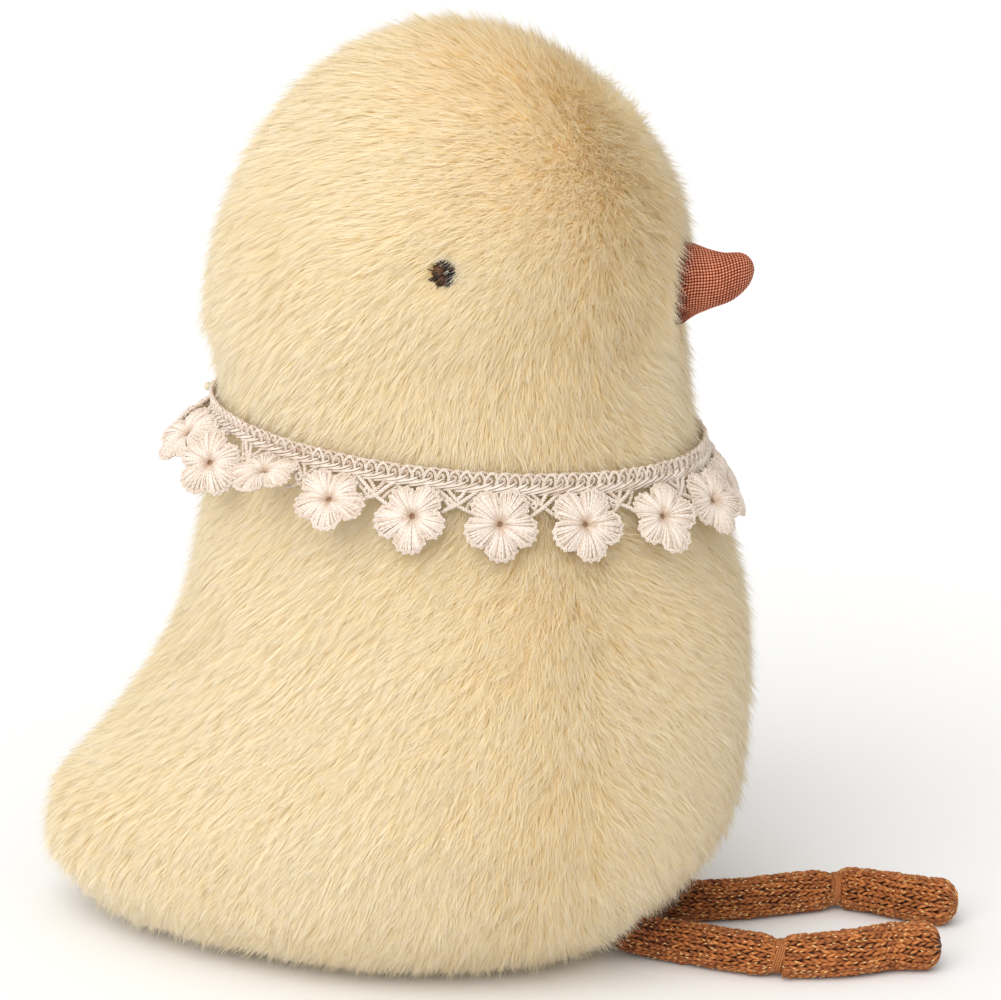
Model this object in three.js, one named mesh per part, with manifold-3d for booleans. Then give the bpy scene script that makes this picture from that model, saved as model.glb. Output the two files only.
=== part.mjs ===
// Sitting plush chick: fur-fabric body, linen beak, stitched eyes, crochet lace
// collar and two limp knitted cord legs. Millimetres, +Z up, the chick faces -Y,
// its right side is -X, and it sits on the plane z = 0.
import * as THREE from 'three';
import * as BufferGeometryUtils from 'three/addons/utils/BufferGeometryUtils.js';
import Module from 'manifold-3d';

const wasm = await Module();
wasm.setup();

// ---------------------------------------------------------------- driving dimensions
const HEIGHT = 177.7;            // crown of the head, fur tips included
const NECK_Z = 122.0;            // where the body levels end and the head dome starts
const SHIFT_Y = -1.2;            // puts the origin under the middle of the whole toy
const LEVEL_POWER = 1.7;         // body levels: z = NECK_Z * s^LEVEL_POWER, s = 0..1
// front, back and half width of the body at the eleven levels
const FRONT = [-21.0, -25.8, -32.2, -39.4, -45.3, -47.5, -48.1, -47.2, -42.9, -37.0, -35.0];
const BACK = [64.0, 78.5, 86.6, 91.3, 89.4, 79.9, 69.7, 62.0, 57.8, 53.7, 56.4];
const WIDTH = [27.0, 33.2, 40.0, 45.4, 48.6, 50.4, 50.0, 48.0, 45.0, 42.5, 42.5];
const DOME_FRONT = [1.0, 1.07, 1.04, 0.92];   // dome fullness at 0, 30, 60, 90 degrees
const DOME_BACK = [1.0, 0.97, 0.93, 0.7];
const SKIN = 3.0;                // fur fabric, pile and backing
const GAP = 0.35;                // clearance kept between neighbouring pieces
const SEAM = 0.4;                // gap of a seam between two panels
const AROUND = 30;               // facets round the body

const EYE = { y: 2.7, z: 138.4, r: 2.65, t: 1.5 };
const BEAK_Y = -47.4;            // beak tip
const BAND_FRONT_Z = 97.6;       // middle of the lace heading at the chest
const BAND_BACK_Z = 106.0;       // and at the nape
const BAND_H = 3.8;
const BAND_T = 0.9;
const BAND_OFF = 0.7;            // heading stands this far off the fur
const LEG_R = 3.75;              // knitted cord, upper part
const FOOT_R = 4.35;             // knitted cord, foot end
const WRAP_R = 2.75;             // thread wound round the ankle
const CORD_WALL = 1.1;
const HIP_MIN = -88, HIP_MAX = 20;      // hinge range that the body is cleared for, degrees

// ---------------------------------------------------------------- small mathematics
function pchip(xs, ys) {
  const n = xs.length, h = [], d = [], m = new Array(n).fill(0);
  for (let i = 0; i < n - 1; i++) { h.push(xs[i + 1] - xs[i]); d.push((ys[i + 1] - ys[i]) / h[i]); }
  for (let i = 1; i < n - 1; i++) {
    if (d[i - 1] * d[i] > 0) {
      const w1 = 2 * h[i] + h[i - 1], w2 = h[i] + 2 * h[i - 1];
      m[i] = (w1 + w2) / (w1 / d[i - 1] + w2 / d[i]);
    }
  }
  const end = (h0, h1, d0, d1) => {
    let v = ((2 * h0 + h1) * d0 - h0 * d1) / (h0 + h1);
    if (v * d0 <= 0) v = 0;
    else if (d0 * d1 <= 0 && Math.abs(v) > 3 * Math.abs(d0)) v = 3 * d0;
    return v;
  };
  m[0] = end(h[0], h[1], d[0], d[1]);
  m[n - 1] = end(h[n - 2], h[n - 3], d[n - 2], d[n - 3]);
  return (x) => {
    let i = 0;
    while (i < n - 2 && x > xs[i + 1]) i++;
    const t = Math.min(1, Math.max(0, (x - xs[i]) / h[i])), t2 = t * t, t3 = t2 * t;
    return (2 * t3 - 3 * t2 + 1) * ys[i] + (t3 - 2 * t2 + t) * h[i] * m[i]
      + (-2 * t3 + 3 * t2) * ys[i + 1] + (t3 - t2) * h[i] * m[i + 1];
  };
}
const clamp = (v, a, b) => Math.min(b, Math.max(a, v));
const LEVELS = FRONT.map((_, i) => i / (FRONT.length - 1));
const frontOf = pchip(LEVELS, FRONT), backOf = pchip(LEVELS, BACK), widthOf = pchip(LEVELS, WIDTH);
const TH = [0, Math.PI / 6, Math.PI / 3, Math.PI / 2];
const domeFront = pchip(TH, DOME_FRONT), domeBack = pchip(TH, DOME_BACK);

// front, back and half width of the outer shape at a height
function slice(z) {
  if (z <= NECK_Z) {
    const s = Math.pow(clamp(z, 0, NECK_Z) / NECK_Z, 1 / LEVEL_POWER);
    return [frontOf(s), backOf(s), widthOf(s)];
  }
  const th = Math.asin(clamp((z - NECK_Z) / (HEIGHT - NECK_Z), 0, 1)), c = Math.cos(th);
  const f = FRONT[10], b = BACK[10], mid = (f + b) / 2, half = (b - f) / 2;
  const ff = domeFront(th), fb = domeBack(th);
  return [mid - half * ff * c, mid + half * fb * c, WIDTH[10] * (ff + fb) / 2 * c];
}
// point of the body at height z, round angle t (0 = tail side, PI = face), moved
// outward by off
function bodyPoint(z, t, off = 0) {
  let [f, b, w] = slice(z);
  const k = clamp((95 - z) / 60, 0, 1), m = 2.0 - 0.45 * clamp((100 - z) / 60, 0, 1);
  const yw = f + (b - f) * (0.5 - 0.07 * k);
  const lb = Math.max(0.05, b - yw + off), lf = Math.max(0.05, yw - f + off), ww = Math.max(0.05, w + off);
  const c = Math.cos(t), s = Math.sin(t), a = Math.abs(c);
  if (c > 0) return new THREE.Vector3(ww * Math.pow(Math.max(0, 1 - Math.pow(a, m)), 1 / 1.9) * Math.sign(s), yw + lb * c, z);
  return new THREE.Vector3(ww * Math.sqrt(Math.max(0, 1 - a * a)) * Math.sign(s), yw + lf * c, z);
}

// ---------------------------------------------------------------- solids
function solidGeometry(positions, index) {
  const g = new THREE.BufferGeometry();
  g.setAttribute('position', new THREE.Float32BufferAttribute(positions, 3));
  g.setIndex(index);
  let v = 0;
  for (let i = 0; i < index.length; i += 3) {
    const [a, b, c] = [0, 1, 2].map((k) => new THREE.Vector3().fromArray(positions, 3 * index[i + k]));
    v += a.dot(b.cross(c));
  }
  if (v < 0) for (let i = 0; i < index.length; i += 3) { const q = index[i]; index[i] = index[i + 1]; index[i + 1] = q; }
  g.setIndex(index);
  return g;
}
// rings of equal point count, joined in order and closed at both ends
function loft(rings) {
  const n = rings[0].length, pos = [], idx = [];
  for (const r of rings) for (const p of r) pos.push(p.x, p.y, p.z);
  for (let i = 0; i < rings.length - 1; i++) for (let j = 0; j < n; j++) {
    const a = i * n + j, b = i * n + (j + 1) % n, c = a + n, d = b + n;
    idx.push(a, b, d, a, d, c);
  }
  for (const e of [0, rings.length - 1]) {
    const o = new THREE.Vector3();
    for (const p of rings[e]) o.add(p);
    o.multiplyScalar(1 / n);
    const k = pos.length / 3;
    pos.push(o.x, o.y, o.z);
    for (let j = 0; j < n; j++) {
      const a = e * n + j, b = e * n + (j + 1) % n;
      if (e === 0) idx.push(k, b, a); else idx.push(k, a, b);
    }
  }
  return solidGeometry(pos, idx);
}
function toManifold(geometry, matrix) {
  let g = geometry.clone();
  if (matrix) g.applyMatrix4(matrix);
  g.deleteAttribute('normal'); g.deleteAttribute('uv');
  g = BufferGeometryUtils.mergeVertices(g, 1e-4);
  return new wasm.Manifold(new wasm.Mesh({
    numProp: 3,
    vertProperties: new Float32Array(g.attributes.position.array),
    triVerts: new Uint32Array(g.index.array),
  }));
}
function fromManifold(m) {
  const mesh = m.getMesh(), g = new THREE.BufferGeometry();
  const pos = new Float32Array(mesh.numVert * 3);
  for (let i = 0; i < mesh.numVert; i++) for (let k = 0; k < 3; k++) pos[3 * i + k] = mesh.vertProperties[i * mesh.numProp + k];
  g.setAttribute('position', new THREE.BufferAttribute(pos, 3));
  g.setIndex(new THREE.BufferAttribute(new Uint32Array(mesh.triVerts), 1));
  return g;
}
const move = (x, y, z) => new THREE.Matrix4().makeTranslation(x, y, z);
function basis(x, y, z, o) { return new THREE.Matrix4().makeBasis(x, y, z).setPosition(o); }

// the body's outer shape, set in by d all round
function bodySolid(d) {
  const around = AROUND, zs = [];
  for (const s of [0, 0.08, 0.16, 0.25, 0.34, 0.43, 0.52, 0.61, 0.7, 0.78, 0.86, 0.93, 1]) zs.push(NECK_Z * Math.pow(s, LEVEL_POWER));
  for (const a of [15, 30, 44, 57, 69, 80]) zs.push(NECK_Z + (HEIGHT - NECK_Z) * Math.sin(a * Math.PI / 180));
  const rings = zs.map((z) => {
    const zz = d + z * (HEIGHT - 2 * d) / HEIGHT;
    const ring = [];
    for (let j = 0; j < around; j++) {
      const p = bodyPoint(z, 2 * Math.PI * (j + 0.5) / around, -d);
      p.z = zz;
      ring.push(p);
    }
    return ring;
  });
  return loft(rings);
}

// a block whose outline lies in X-Z, running along Y from y0 to y1
function blockAlongY(points, y0, y1) {
  const shape = new THREE.Shape(points.map(([x, z]) => new THREE.Vector2(x, z)));
  const g = new THREE.ExtrudeGeometry(shape, { depth: y1 - y0, bevelEnabled: false });
  // shape x -> X, shape y -> Z, depth -> -Y, so start from y1
  const m = basis(new THREE.Vector3(1, 0, 0), new THREE.Vector3(0, 0, 1), new THREE.Vector3(0, -1, 0), new THREE.Vector3(0, y1, 0));
  return toManifold(g, m);
}
const block = (x0, x1, y0, y1, z0, z1) => toManifold(new THREE.BoxGeometry(x1 - x0, y1 - y0, z1 - z0), move((x0 + x1) / 2, (y0 + y1) / 2, (z0 + z1) / 2));
function rod(p, q, r, n = 10) {
  const y = q.clone().sub(p), l = y.length();
  y.normalize();
  const x = new THREE.Vector3(Math.abs(y.z) > 0.9 ? 1 : 0, 0, Math.abs(y.z) > 0.9 ? 0 : 1).cross(y).normalize();
  const z = x.clone().cross(y).normalize();
  return toManifold(new THREE.CylinderGeometry(r, r, l, n), basis(x, y, z, p.clone().add(q).multiplyScalar(0.5)));
}
const ball = (c, r, n = 14) => toManifold(new THREE.SphereGeometry(r, n, Math.round(n * 0.7)), move(c.x, c.y, c.z));

// ---------------------------------------------------------------- body
const outer = toManifold(bodySolid(0));
const inner = toManifold(bodySolid(SKIN));
const cavity = toManifold(bodySolid(SKIN + GAP));

// legs: ground line of each cord, root to toe, [x, y]; the middle is at the ankle
const LEGS = {
  right: {
    side: -1,
    upper: [[-10.9, -25.0], [-11.5, -33.5], [-13.4, -41.5], [-15.2, -48.5], [-16.0, -56.4]],
    foot: [[-16.0, -56.4], [-14.9, -63.8], [-12.4, -70.6], [-8.9, -76.9], [-7.2, -86.4]],
  },
  left: {
    side: 1,
    upper: [[9.4, -25.0], [9.6, -34.5], [11.6, -44.0], [15.4, -52.0], [21.0, -63.4]],
    foot: [[21.0, -63.4], [20.8, -69.0], [18.6, -76.0], [16.6, -82.0], [15.6, -88.0]],
  },
};
const LEG_Z = 4.0;
const hipOf = (leg) => new THREE.Vector3(leg.upper[0][0], leg.upper[0][1], LEG_Z + 1.0);

// room in the fur panels and the filling for the leg root through its swing
function hipClearance(leg, r) {
  const c = hipOf(leg);
  const d = new THREE.Vector3(leg.upper[1][0] - leg.upper[0][0], leg.upper[1][1] - leg.upper[0][1], 0).normalize();
  const side = new THREE.Vector3(-d.y, d.x, 0).normalize();
  const up = new THREE.Vector3(0, 0, 1), rad = Math.PI / 180, pts = [];
  const at = (ang, l, o) => new THREE.Vector2(l * Math.cos(ang) - o * Math.sin(ang), l * Math.sin(ang) + o * Math.cos(ang));
  const hi = (HIP_MAX + 3) * rad, lo = HIP_MIN * rad;
  pts.push(at(hi, 0, r), at(hi, 19, r));
  for (let k = 0; k <= 5; k++) pts.push(at(THREE.MathUtils.lerp(hi, lo, k / 5), 19.5, 0));
  pts.push(at(lo, 19, -r), at(lo, 0, -r));
  const slot = new THREE.ExtrudeGeometry(new THREE.Shape(pts), { depth: 2 * r, bevelEnabled: false });
  // outline x -> along the leg, outline y -> up, thickness across the leg
  const across = d.clone().cross(up).normalize();
  const m = ball(c, r, 14).add(toManifold(slot, basis(d, up, across, c.clone().addScaledVector(across, -r))));
  return { m, c, d, side };
}

const skin = outer.subtract(inner);
// front panel: a long gusset from the point on the forehead down to the seat
const GUSSET = [[0, 173.5], [6.5, 171.0], [12.5, 166.5], [19.5, 160.5], [24.5, 153.5], [28.5, 145.0], [31.0, 134.0],
  [32.2, 118.0], [34.0, 103.0], [37.0, 89.0], [38.7, 75.0], [39.7, 64.0], [40.4, 52.0], [41.2, 38.0], [40.5, 26.0], [37.5, 14.0], [35.5, -2.0]];
const outline = (g) => [[0, GUSSET[0][1] + g], ...GUSSET.slice(1).map(([x, z]) => [x + g, z]), ...GUSSET.slice(1).reverse().map(([x, z]) => [-x - g, z])];
const frontBlock = blockAlongY(outline(-SEAM / 2), -80, 4);
const frontBlockWide = blockAlongY(outline(SEAM / 2), -80, 4);
const SEAT_Z = 4.2;
const below = block(-80, 80, -120, 120, -5, SEAT_Z - SEAM / 2);
const above = block(-80, 80, -120, 120, SEAT_Z + SEAM / 2, 260);

const hips = Object.fromEntries(Object.entries(LEGS).map(([k, leg]) => [k, hipClearance(leg, LEG_R + 0.55)]));
const hipRoom = hips.right.m.add(hips.left.m);

// eyes: flattened knots of thread sunk into the pile
function surfaceX(y, z) {
  let lo = 0.02, hi = Math.PI - 0.02;
  for (let i = 0; i < 50; i++) { const m = (lo + hi) / 2; if (bodyPoint(z, m).y > y) lo = m; else hi = m; }
  return bodyPoint(z, lo).x;
}
const EYE_X = surfaceX(EYE.y, EYE.z);
function eyeFrame(side) {
  const e = 0.5;
  const px = new THREE.Vector3(0, 0, 0);
  const dy = (surfaceX(EYE.y + e, EYE.z) - surfaceX(EYE.y - e, EYE.z)) / (2 * e);
  const dz = (surfaceX(EYE.y, EYE.z + e) - surfaceX(EYE.y, EYE.z - e)) / (2 * e);
  const n = new THREE.Vector3(side, -dy, -dz).normalize();
  const x = new THREE.Vector3(0, 1, 0).cross(n).normalize(), z = x.clone().cross(n).normalize();
  px.set(side * EYE_X, EYE.y, EYE.z);
  return { n, x, z, p: px };
}
function eyeLens(side, grow = 0) {
  const f = eyeFrame(side), g = new THREE.SphereGeometry(1, 12, 8);
  const s = new THREE.Matrix4().makeScale(EYE.r + grow, EYE.t / 2 + grow, EYE.r + grow);
  const c = f.p.clone().addScaledVector(f.n, -1.15);
  return toManifold(g, basis(f.x, f.n, f.z, c).multiply(s));
}
function eyeWell(side) {
  const f = eyeFrame(side);
  return rod(f.p.clone().addScaledVector(f.n, -2.25), f.p.clone().addScaledVector(f.n, 3), EYE.r + 0.35, 14);
}
const threadEnd = (side) => eyeFrame(side).p.clone().addScaledVector(new THREE.Vector3(side, 0, 0), -2.55);
const eyeThread = rod(threadEnd(-1), threadEnd(1), 0.4, 8);
const eyeThreadRoom = rod(new THREE.Vector3(-EYE_X, EYE.y, EYE.z), new THREE.Vector3(EYE_X, EYE.y, EYE.z), 0.75, 8);

// beak: a stuffed linen cone whose base passes through the front panel
const BEAK = [ // y, height of the middle, half height, half width
  [-28.0, 130.0, 8.2, 8.0], [-33.5, 130.0, 7.9, 7.7], [-36.0, 130.2, 7.3, 7.2], [-39.0, 130.7, 6.35, 6.3],
  [-41.8, 131.3, 5.5, 5.5], [-44.2, 131.9, 4.75, 4.7], [-46.0, 132.1, 3.75, 3.7], [-47.1, 132.1, 2.2, 2.2],
];
function beakSolid(d, n = 16) {
  const rings = BEAK.map(([y, z, h, w], i) => {
    const ring = [];
    const yy = i >= BEAK.length - 2 ? y + d : (i === 0 ? y + d * 0 : y);
    for (let j = 0; j < n; j++) {
      const a = 2 * Math.PI * j / n;
      ring.push(new THREE.Vector3((w - d) * Math.cos(a), yy, z + (h - d) * Math.sin(a)));
    }
    return ring;
  });
  const last = BEAK[BEAK.length - 1];
  rings.push(Array.from({ length: n }, (_, j) => new THREE.Vector3(Math.max(0.3, 0.9 - d * 0.3) * Math.cos(2 * Math.PI * j / n), BEAK_Y + d * 1.05, last[1] + Math.max(0.3, 0.9 - d * 0.3) * Math.sin(2 * Math.PI * j / n))));
  return loft(rings);
}
const beakOuter = toManifold(beakSolid(0)), beakInner = toManifold(beakSolid(0.9)), beakCore = toManifold(beakSolid(0.9 + GAP));
const beakRoom = toManifold(beakSolid(-GAP));
const beakBack = toManifold(bodySolid(SKIN + 0.05));
const beakCover = beakOuter.subtract(beakInner.add(rod(new THREE.Vector3(0, -24, 130), new THREE.Vector3(0, -30, 130), 6.6, 16))).subtract(beakBack);
const beakFilling = beakCore.subtract(beakBack);

// collar heading: a band round the neck, lower at the chest than at the nape
function bandZ(y) { return THREE.MathUtils.lerp(BAND_FRONT_Z, BAND_BACK_Z, clamp((y + 37) / 91, 0, 1)); }
function bandPoint(t, dz, off) {
  let z = 101.8;
  for (let i = 0; i < 12; i++) z = bandZ(bodyPoint(z, t).y);
  return bodyPoint(z + dz, t, off);
}
const BAND_N = 48;
function bandGeometry() {
  const pos = [], idx = [], sect = [[BAND_H / 2, BAND_OFF], [BAND_H / 2, BAND_OFF + BAND_T], [-BAND_H / 2, BAND_OFF + BAND_T + 0.2], [-BAND_H / 2, BAND_OFF + 0.2]];
  for (let i = 0; i < BAND_N; i++) {
    for (const [dz, off] of sect) {
      const p = bandPoint(2 * Math.PI * (i + 0.5) / BAND_N, dz, off);
      pos.push(p.x, p.y, p.z);
    }
  }
  for (let i = 0; i < BAND_N; i++) for (let k = 0; k < 4; k++) {
    const a = i * 4 + k, b = i * 4 + (k + 1) % 4, c = ((i + 1) % BAND_N) * 4 + k, d = ((i + 1) % BAND_N) * 4 + (k + 1) % 4;
    idx.push(a, b, d, a, d, c);
  }
  return solidGeometry(pos, idx);
}
// tack: one knotted stitch that holds the collar to the nape seam
const napeIn = bandPoint(0.0001, 0, -SKIN + 0.2), napeOut = bandPoint(0.0001, 0, BAND_OFF + BAND_T + 1.3);
const tack = rod(napeIn, napeOut, 0.4, 8).add(ball(napeOut, 0.85, 10));
const tackRoom = rod(bandPoint(0.0001, 0, -6), bandPoint(0.0001, 0, 6), 0.8, 8);

const wells = eyeWell(-1).add(eyeWell(1)).add(eyeThreadRoom);
const front = skin.intersect(frontBlock).intersect(above).subtract(beakRoom).subtract(hipRoom);
const rest = skin.subtract(frontBlockWide).intersect(above).subtract(wells).subtract(tackRoom).subtract(hipRoom);
const sideRight = rest.intersect(block(-80, -SEAM / 2, -120, 120, -5, 260));
const sideLeft = rest.intersect(block(SEAM / 2, 80, -120, 120, -5, 260));
const base = skin.intersect(below).subtract(hipRoom);

// pellet bag in the seat
const BAG = { y: 16, rx: 27, ry: 36, z0: SKIN + 0.35, h: 18 };
function bagSolid(d, drop = 0) {
  const prof = [[0, 0.72], [0.1, 0.88], [0.3, 1], [0.55, 0.98], [0.8, 0.82], [0.94, 0.55], [1, 0.25]];
  const n = 24, rings = [];
  if (drop) rings.push(Array.from({ length: n }, (_, j) => new THREE.Vector3((BAG.rx - d) * Math.cos(2 * Math.PI * j / n), BAG.y + (BAG.ry - d) * Math.sin(2 * Math.PI * j / n), -4)));
  for (const [u, k] of prof) {
    if (drop && u < 0.3) continue;
    rings.push(Array.from({ length: n }, (_, j) => new THREE.Vector3((BAG.rx * k - d) * Math.cos(2 * Math.PI * j / n), BAG.y + (BAG.ry * k - d) * Math.sin(2 * Math.PI * j / n), BAG.z0 + d + u * (BAG.h - 2 * d))));
  }
  return loft(rings);
}
const bagMouth = block(-5, 5, 12, 20, BAG.z0 + BAG.h - 4, BAG.z0 + BAG.h + 4);
const pelletBag = toManifold(bagSolid(0)).subtract(toManifold(bagSolid(0.7))).subtract(bagMouth);
const pelletFill = toManifold(bagSolid(0.7 + GAP)).subtract(block(-5.3, 5.3, 11.7, 20.3, BAG.z0 + BAG.h - 1.2, BAG.z0 + BAG.h + 4));
const filling = cavity.subtract(toManifold(bagSolid(-GAP, 1))).subtract(hipRoom)
  .subtract(eyeThreadRoom).subtract(rod(bandPoint(0.0001, 0, -8), bandPoint(0.0001, 0, 6), 0.8, 8));

// ---------------------------------------------------------------- lace flowers
// [round angle in turns from the nape towards the right side, flare degrees, twist degrees, spin degrees]
const FLOWERS = [
  [0.055, 46, -10, 8], [0.105, 28, -36, -14], [0.160, 70, 0, 5], [0.203, 40, -4, 12], [0.251, 12, 0, -3],
  [0.302, 8, 0, 0], [0.353, 10, 3, 4], [0.406, 14, 12, 10], [0.458, 16, 12, -8],
  [0.510, 20, 5, 6], [0.570, 14, 4, -4], [0.629, 10, 0, 3], [0.688, 8, 2, -8], [0.747, 8, -4, 6],
  [0.806, 10, -6, -3], [0.865, 20, -10, 9], [0.924, 34, -6, -6], [0.985, 44, 6, 4],
];
const PETAL = (a) => 4.35 + 2.1 * Math.pow(Math.abs(Math.cos(2.5 * a)), 0.8);
function flowerShape() {
  const pts = [];
  for (let i = 0; i < 20; i++) {
    const a = 2 * Math.PI * i / 20 + Math.PI / 2;
    const r = PETAL(a - Math.PI / 2 + Math.PI / 5 * 1);
    pts.push(new THREE.Vector2(r * Math.cos(a), r * Math.sin(a)));
  }
  return new THREE.Shape(pts);
}
function flowerGeometry([turn, flare, twist]) {
  const t = -2 * Math.PI * turn;                 // right side is -X
  const a = bandPoint(t, -BAND_H / 2 - GAP, BAND_OFF + 0.5), b = bandPoint(t + 0.02, -BAND_H / 2, 0), c = bandPoint(t - 0.02, -BAND_H / 2, 0);
  const along = b.clone().sub(c).normalize();
  const lowA = bandPoint(t, -BAND_H / 2, 0), lowB = bandPoint(t, -BAND_H / 2 - 12, 0);
  const out = new THREE.Vector3(along.y, -along.x, 0).normalize();
  if (out.dot(new THREE.Vector3(a.x, a.y - 8, 0)) < 0) out.negate();
  const slope = Math.atan2(lowB.clone().sub(lowA).dot(out), 12);
  const f = slope + flare * Math.PI / 180;
  const down = new THREE.Vector3(0, 0, -Math.cos(f)).addScaledVector(out, Math.sin(f));
  let side = along.clone().cross(down).cross(down).normalize();
  side.applyAxisAngle(down, twist * Math.PI / 180);
  const up = down.clone().negate(), n = side.clone().cross(up).normalize();
  const g = new THREE.ExtrudeGeometry(flowerShape(), { depth: 1.1, bevelEnabled: false });
  const centre = a.clone().addScaledVector(down, 6.1).addScaledVector(out, 0.5 + Math.abs(Math.sin(twist * Math.PI / 180)) * 4);
  const m = basis(side, up, n, centre).multiply(move(0, 0, -0.55));
  return fromManifold(toManifold(g, m));
}

// ---------------------------------------------------------------- legs
function cordRings(pts, radius, n = 10) {
  const rings = [];
  for (let i = 0; i < pts.length; i++) {
    const a = pts[Math.max(0, i - 1)], b = pts[Math.min(pts.length - 1, i + 1)];
    const t = b.clone().sub(a).normalize();
    const s = new THREE.Vector3(0, 0, 1).cross(t).normalize(), u = t.clone().cross(s).normalize();
    const r = radius(i);
    rings.push(Array.from({ length: n }, (_, j) => pts[i].clone().addScaledVector(s, r * Math.cos(2 * Math.PI * j / n)).addScaledVector(u, r * Math.sin(2 * Math.PI * j / n))));
  }
  return rings;
}
function legPieces(leg) {
  const hip = hipOf(leg), ankle = new THREE.Vector3(leg.upper[4][0], leg.upper[4][1], LEG_Z - 0.2);
  const z = (r) => r + 0.12;
  // upper: from the rounded root to the cup at the ankle
  const up = new THREE.CatmullRomCurve3(leg.upper.map(([x, y], i) => new THREE.Vector3(x, y, i === 0 ? hip.z : (i === 4 ? ankle.z : z(LEG_R)))), false, 'centripetal');
  const U = [0, 0.06, 0.15, 0.35, 0.58, 0.76, 0.86, 0.93, 0.985];
  const ru = (u) => {
    const root = u < 0.12 ? 0.86 + 0.14 * Math.sin(clamp(u / 0.12, 0, 1) * Math.PI / 2) : 1;
    const d = (1 - u) * up.getLength();
    return LEG_R * root * (1 - 0.33 * Math.pow(clamp(1 - d / 8.5, 0, 1), 1.6));
  };
  const upPts = U.map((u) => up.getPointAt(u));
  const upOuter = toManifold(loft(cordRings(upPts, (i) => ru(U[i]))));
  const upInner = toManifold(loft(cordRings([up.getPointAt(0).addScaledVector(up.getTangentAt(0), -3), ...upPts.slice(1), ankle], (i) => ru(U[Math.min(i, U.length - 1)]) - CORD_WALL)));
  const upCore = toManifold(loft(cordRings(upPts.slice(1, -2), (i) => ru(U[i + 1]) - CORD_WALL - GAP)));
  const cup = ball(ankle, 3.15, 12);
  const axisH = hips[leg.side < 0 ? 'right' : 'left'].side;
  const stitchRoom = rod(hip.clone().addScaledVector(axisH, -9), hip.clone().addScaledVector(axisH, 9), 0.8, 8);
  const rootBall = ball(hip, LEG_R + 0.02, 12);
  // the root keeps inside a ball about the hip so that it can swing in its socket
  const behind = rod(hip.clone().addScaledVector(hips[leg.side < 0 ? 'right' : 'left'].d, -8), hip.clone(), 7, 12);
  const trimBack = behind.subtract(rootBall);
  const knitUpper = upOuter.subtract(upInner).subtract(cup).subtract(stitchRoom).subtract(trimBack);
  const coreUpper = upCore.subtract(cup).subtract(stitchRoom).subtract(trimBack);
  // foot
  const ft = new THREE.CatmullRomCurve3(leg.foot.map(([x, y], i) => new THREE.Vector3(x, y, i === 0 ? ankle.z : z(LEG_R + (FOOT_R - LEG_R) * i / 4))), false, 'centripetal');
  const V = [0.02, 0.08, 0.17, 0.28, 0.5, 0.72, 0.86, 0.93, 0.975, 1];
  const rf = (u) => {
    const d = u * ft.getLength(), e = (1 - u) * ft.getLength();
    const neck = 1 - 0.34 * Math.pow(clamp(1 - d / 8.5, 0, 1), 1.6);
    const toe = e < 3.6 ? Math.sqrt(Math.max(0.02, 1 - Math.pow(1 - e / 3.6, 2))) : 1;
    return THREE.MathUtils.lerp(LEG_R, FOOT_R, u) * neck * toe;
  };
  const ftPts = V.map((u) => ft.getPointAt(u));
  const ftOuter = toManifold(loft(cordRings(ftPts, (i) => Math.max(0.5, rf(V[i])))));
  const inR = (u) => Math.max(0.35, rf(u) - CORD_WALL);
  const innerPts = [ankle.clone(), ...V.slice(0, 9).map((u) => ft.getPointAt(u * 0.965))];
  const ftInner = toManifold(loft(cordRings(innerPts, (i) => (i === 0 ? inR(0.02) : inR(V[i - 1])))));
  const ftCore = toManifold(loft(cordRings(V.slice(1, 9).map((u) => ft.getPointAt(u * 0.945 + 0.004)), (i) => Math.max(0.25, inR(V[i + 1]) - GAP))));
  const knitFoot = ftOuter.subtract(ftInner).subtract(cup);
  const coreFoot = ftCore.subtract(cup);
  const wrapDir = up.getTangentAt(1);
  const wrapSphere = toManifold(new THREE.SphereGeometry(WRAP_R, 12, 8), move(ankle.x, ankle.y, ankle.z));
  const wrap = wrapSphere;
  const stitch = rod(hip.clone().addScaledVector(axisH, -5.7), hip.clone().addScaledVector(axisH, 5.7), 0.45, 8);
  return { knitUpper, coreUpper, knitFoot, coreFoot, wrap, stitch, hip, ankle, axisH };
}
const right = legPieces(LEGS.right), left = legPieces(LEGS.left);
const stitchHoles = rod(right.hip.clone().addScaledVector(right.axisH, -6.1), right.hip.clone().addScaledVector(right.axisH, 6.1), 0.8, 8)
  .add(rod(left.hip.clone().addScaledVector(left.axisH, -6.1), left.hip.clone().addScaledVector(left.axisH, 6.1), 0.8, 8));

// ---------------------------------------------------------------- assembly
const group = new THREE.Group();
group.position.set(0, SHIFT_Y, 0);
const look = (color, roughness, metalness = 0) => new THREE.MeshStandardMaterial({ color, roughness, metalness });
const FUR = look('#ead7a6', 0.95), WOOL = look('#f4f1ea', 1.0), LACE = look('#e6dccf', 0.9), LINEN = look('#c47253', 0.9);
const KNIT = look('#a4571f', 0.75), THREAD = look('#3b2011', 0.7), LINER = look('#d9d4c8', 0.95), CREAM = look('#efe8da', 0.8);
function put(name, what, material) {
  const mesh = new THREE.Mesh(what.isBufferGeometry ? what : fromManifold(what), material);
  mesh.name = name;
  group.add(mesh);
}
put('side_panel_right', sideRight.subtract(stitchHoles), FUR);
put('side_panel_left', sideLeft.subtract(stitchHoles), FUR);
put('front_panel', front.subtract(stitchHoles), FUR);
put('base_panel', base.subtract(stitchHoles), FUR);
put('fibre_filling', filling.subtract(stitchHoles), WOOL);
put('pellet_bag', pelletBag, LINER);
put('pellet_fill', pelletFill, CREAM);
put('beak_cover', beakCover, LINEN);
put('beak_filling', beakFilling, WOOL);
put('eye_right', eyeLens(-1), THREAD);
put('eye_left', eyeLens(1), THREAD);
put('eye_thread', eyeThread, THREAD);
put('lace_band', toManifold(bandGeometry()).subtract(tackRoom), LACE);
put('collar_tack', tack, CREAM);
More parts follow.
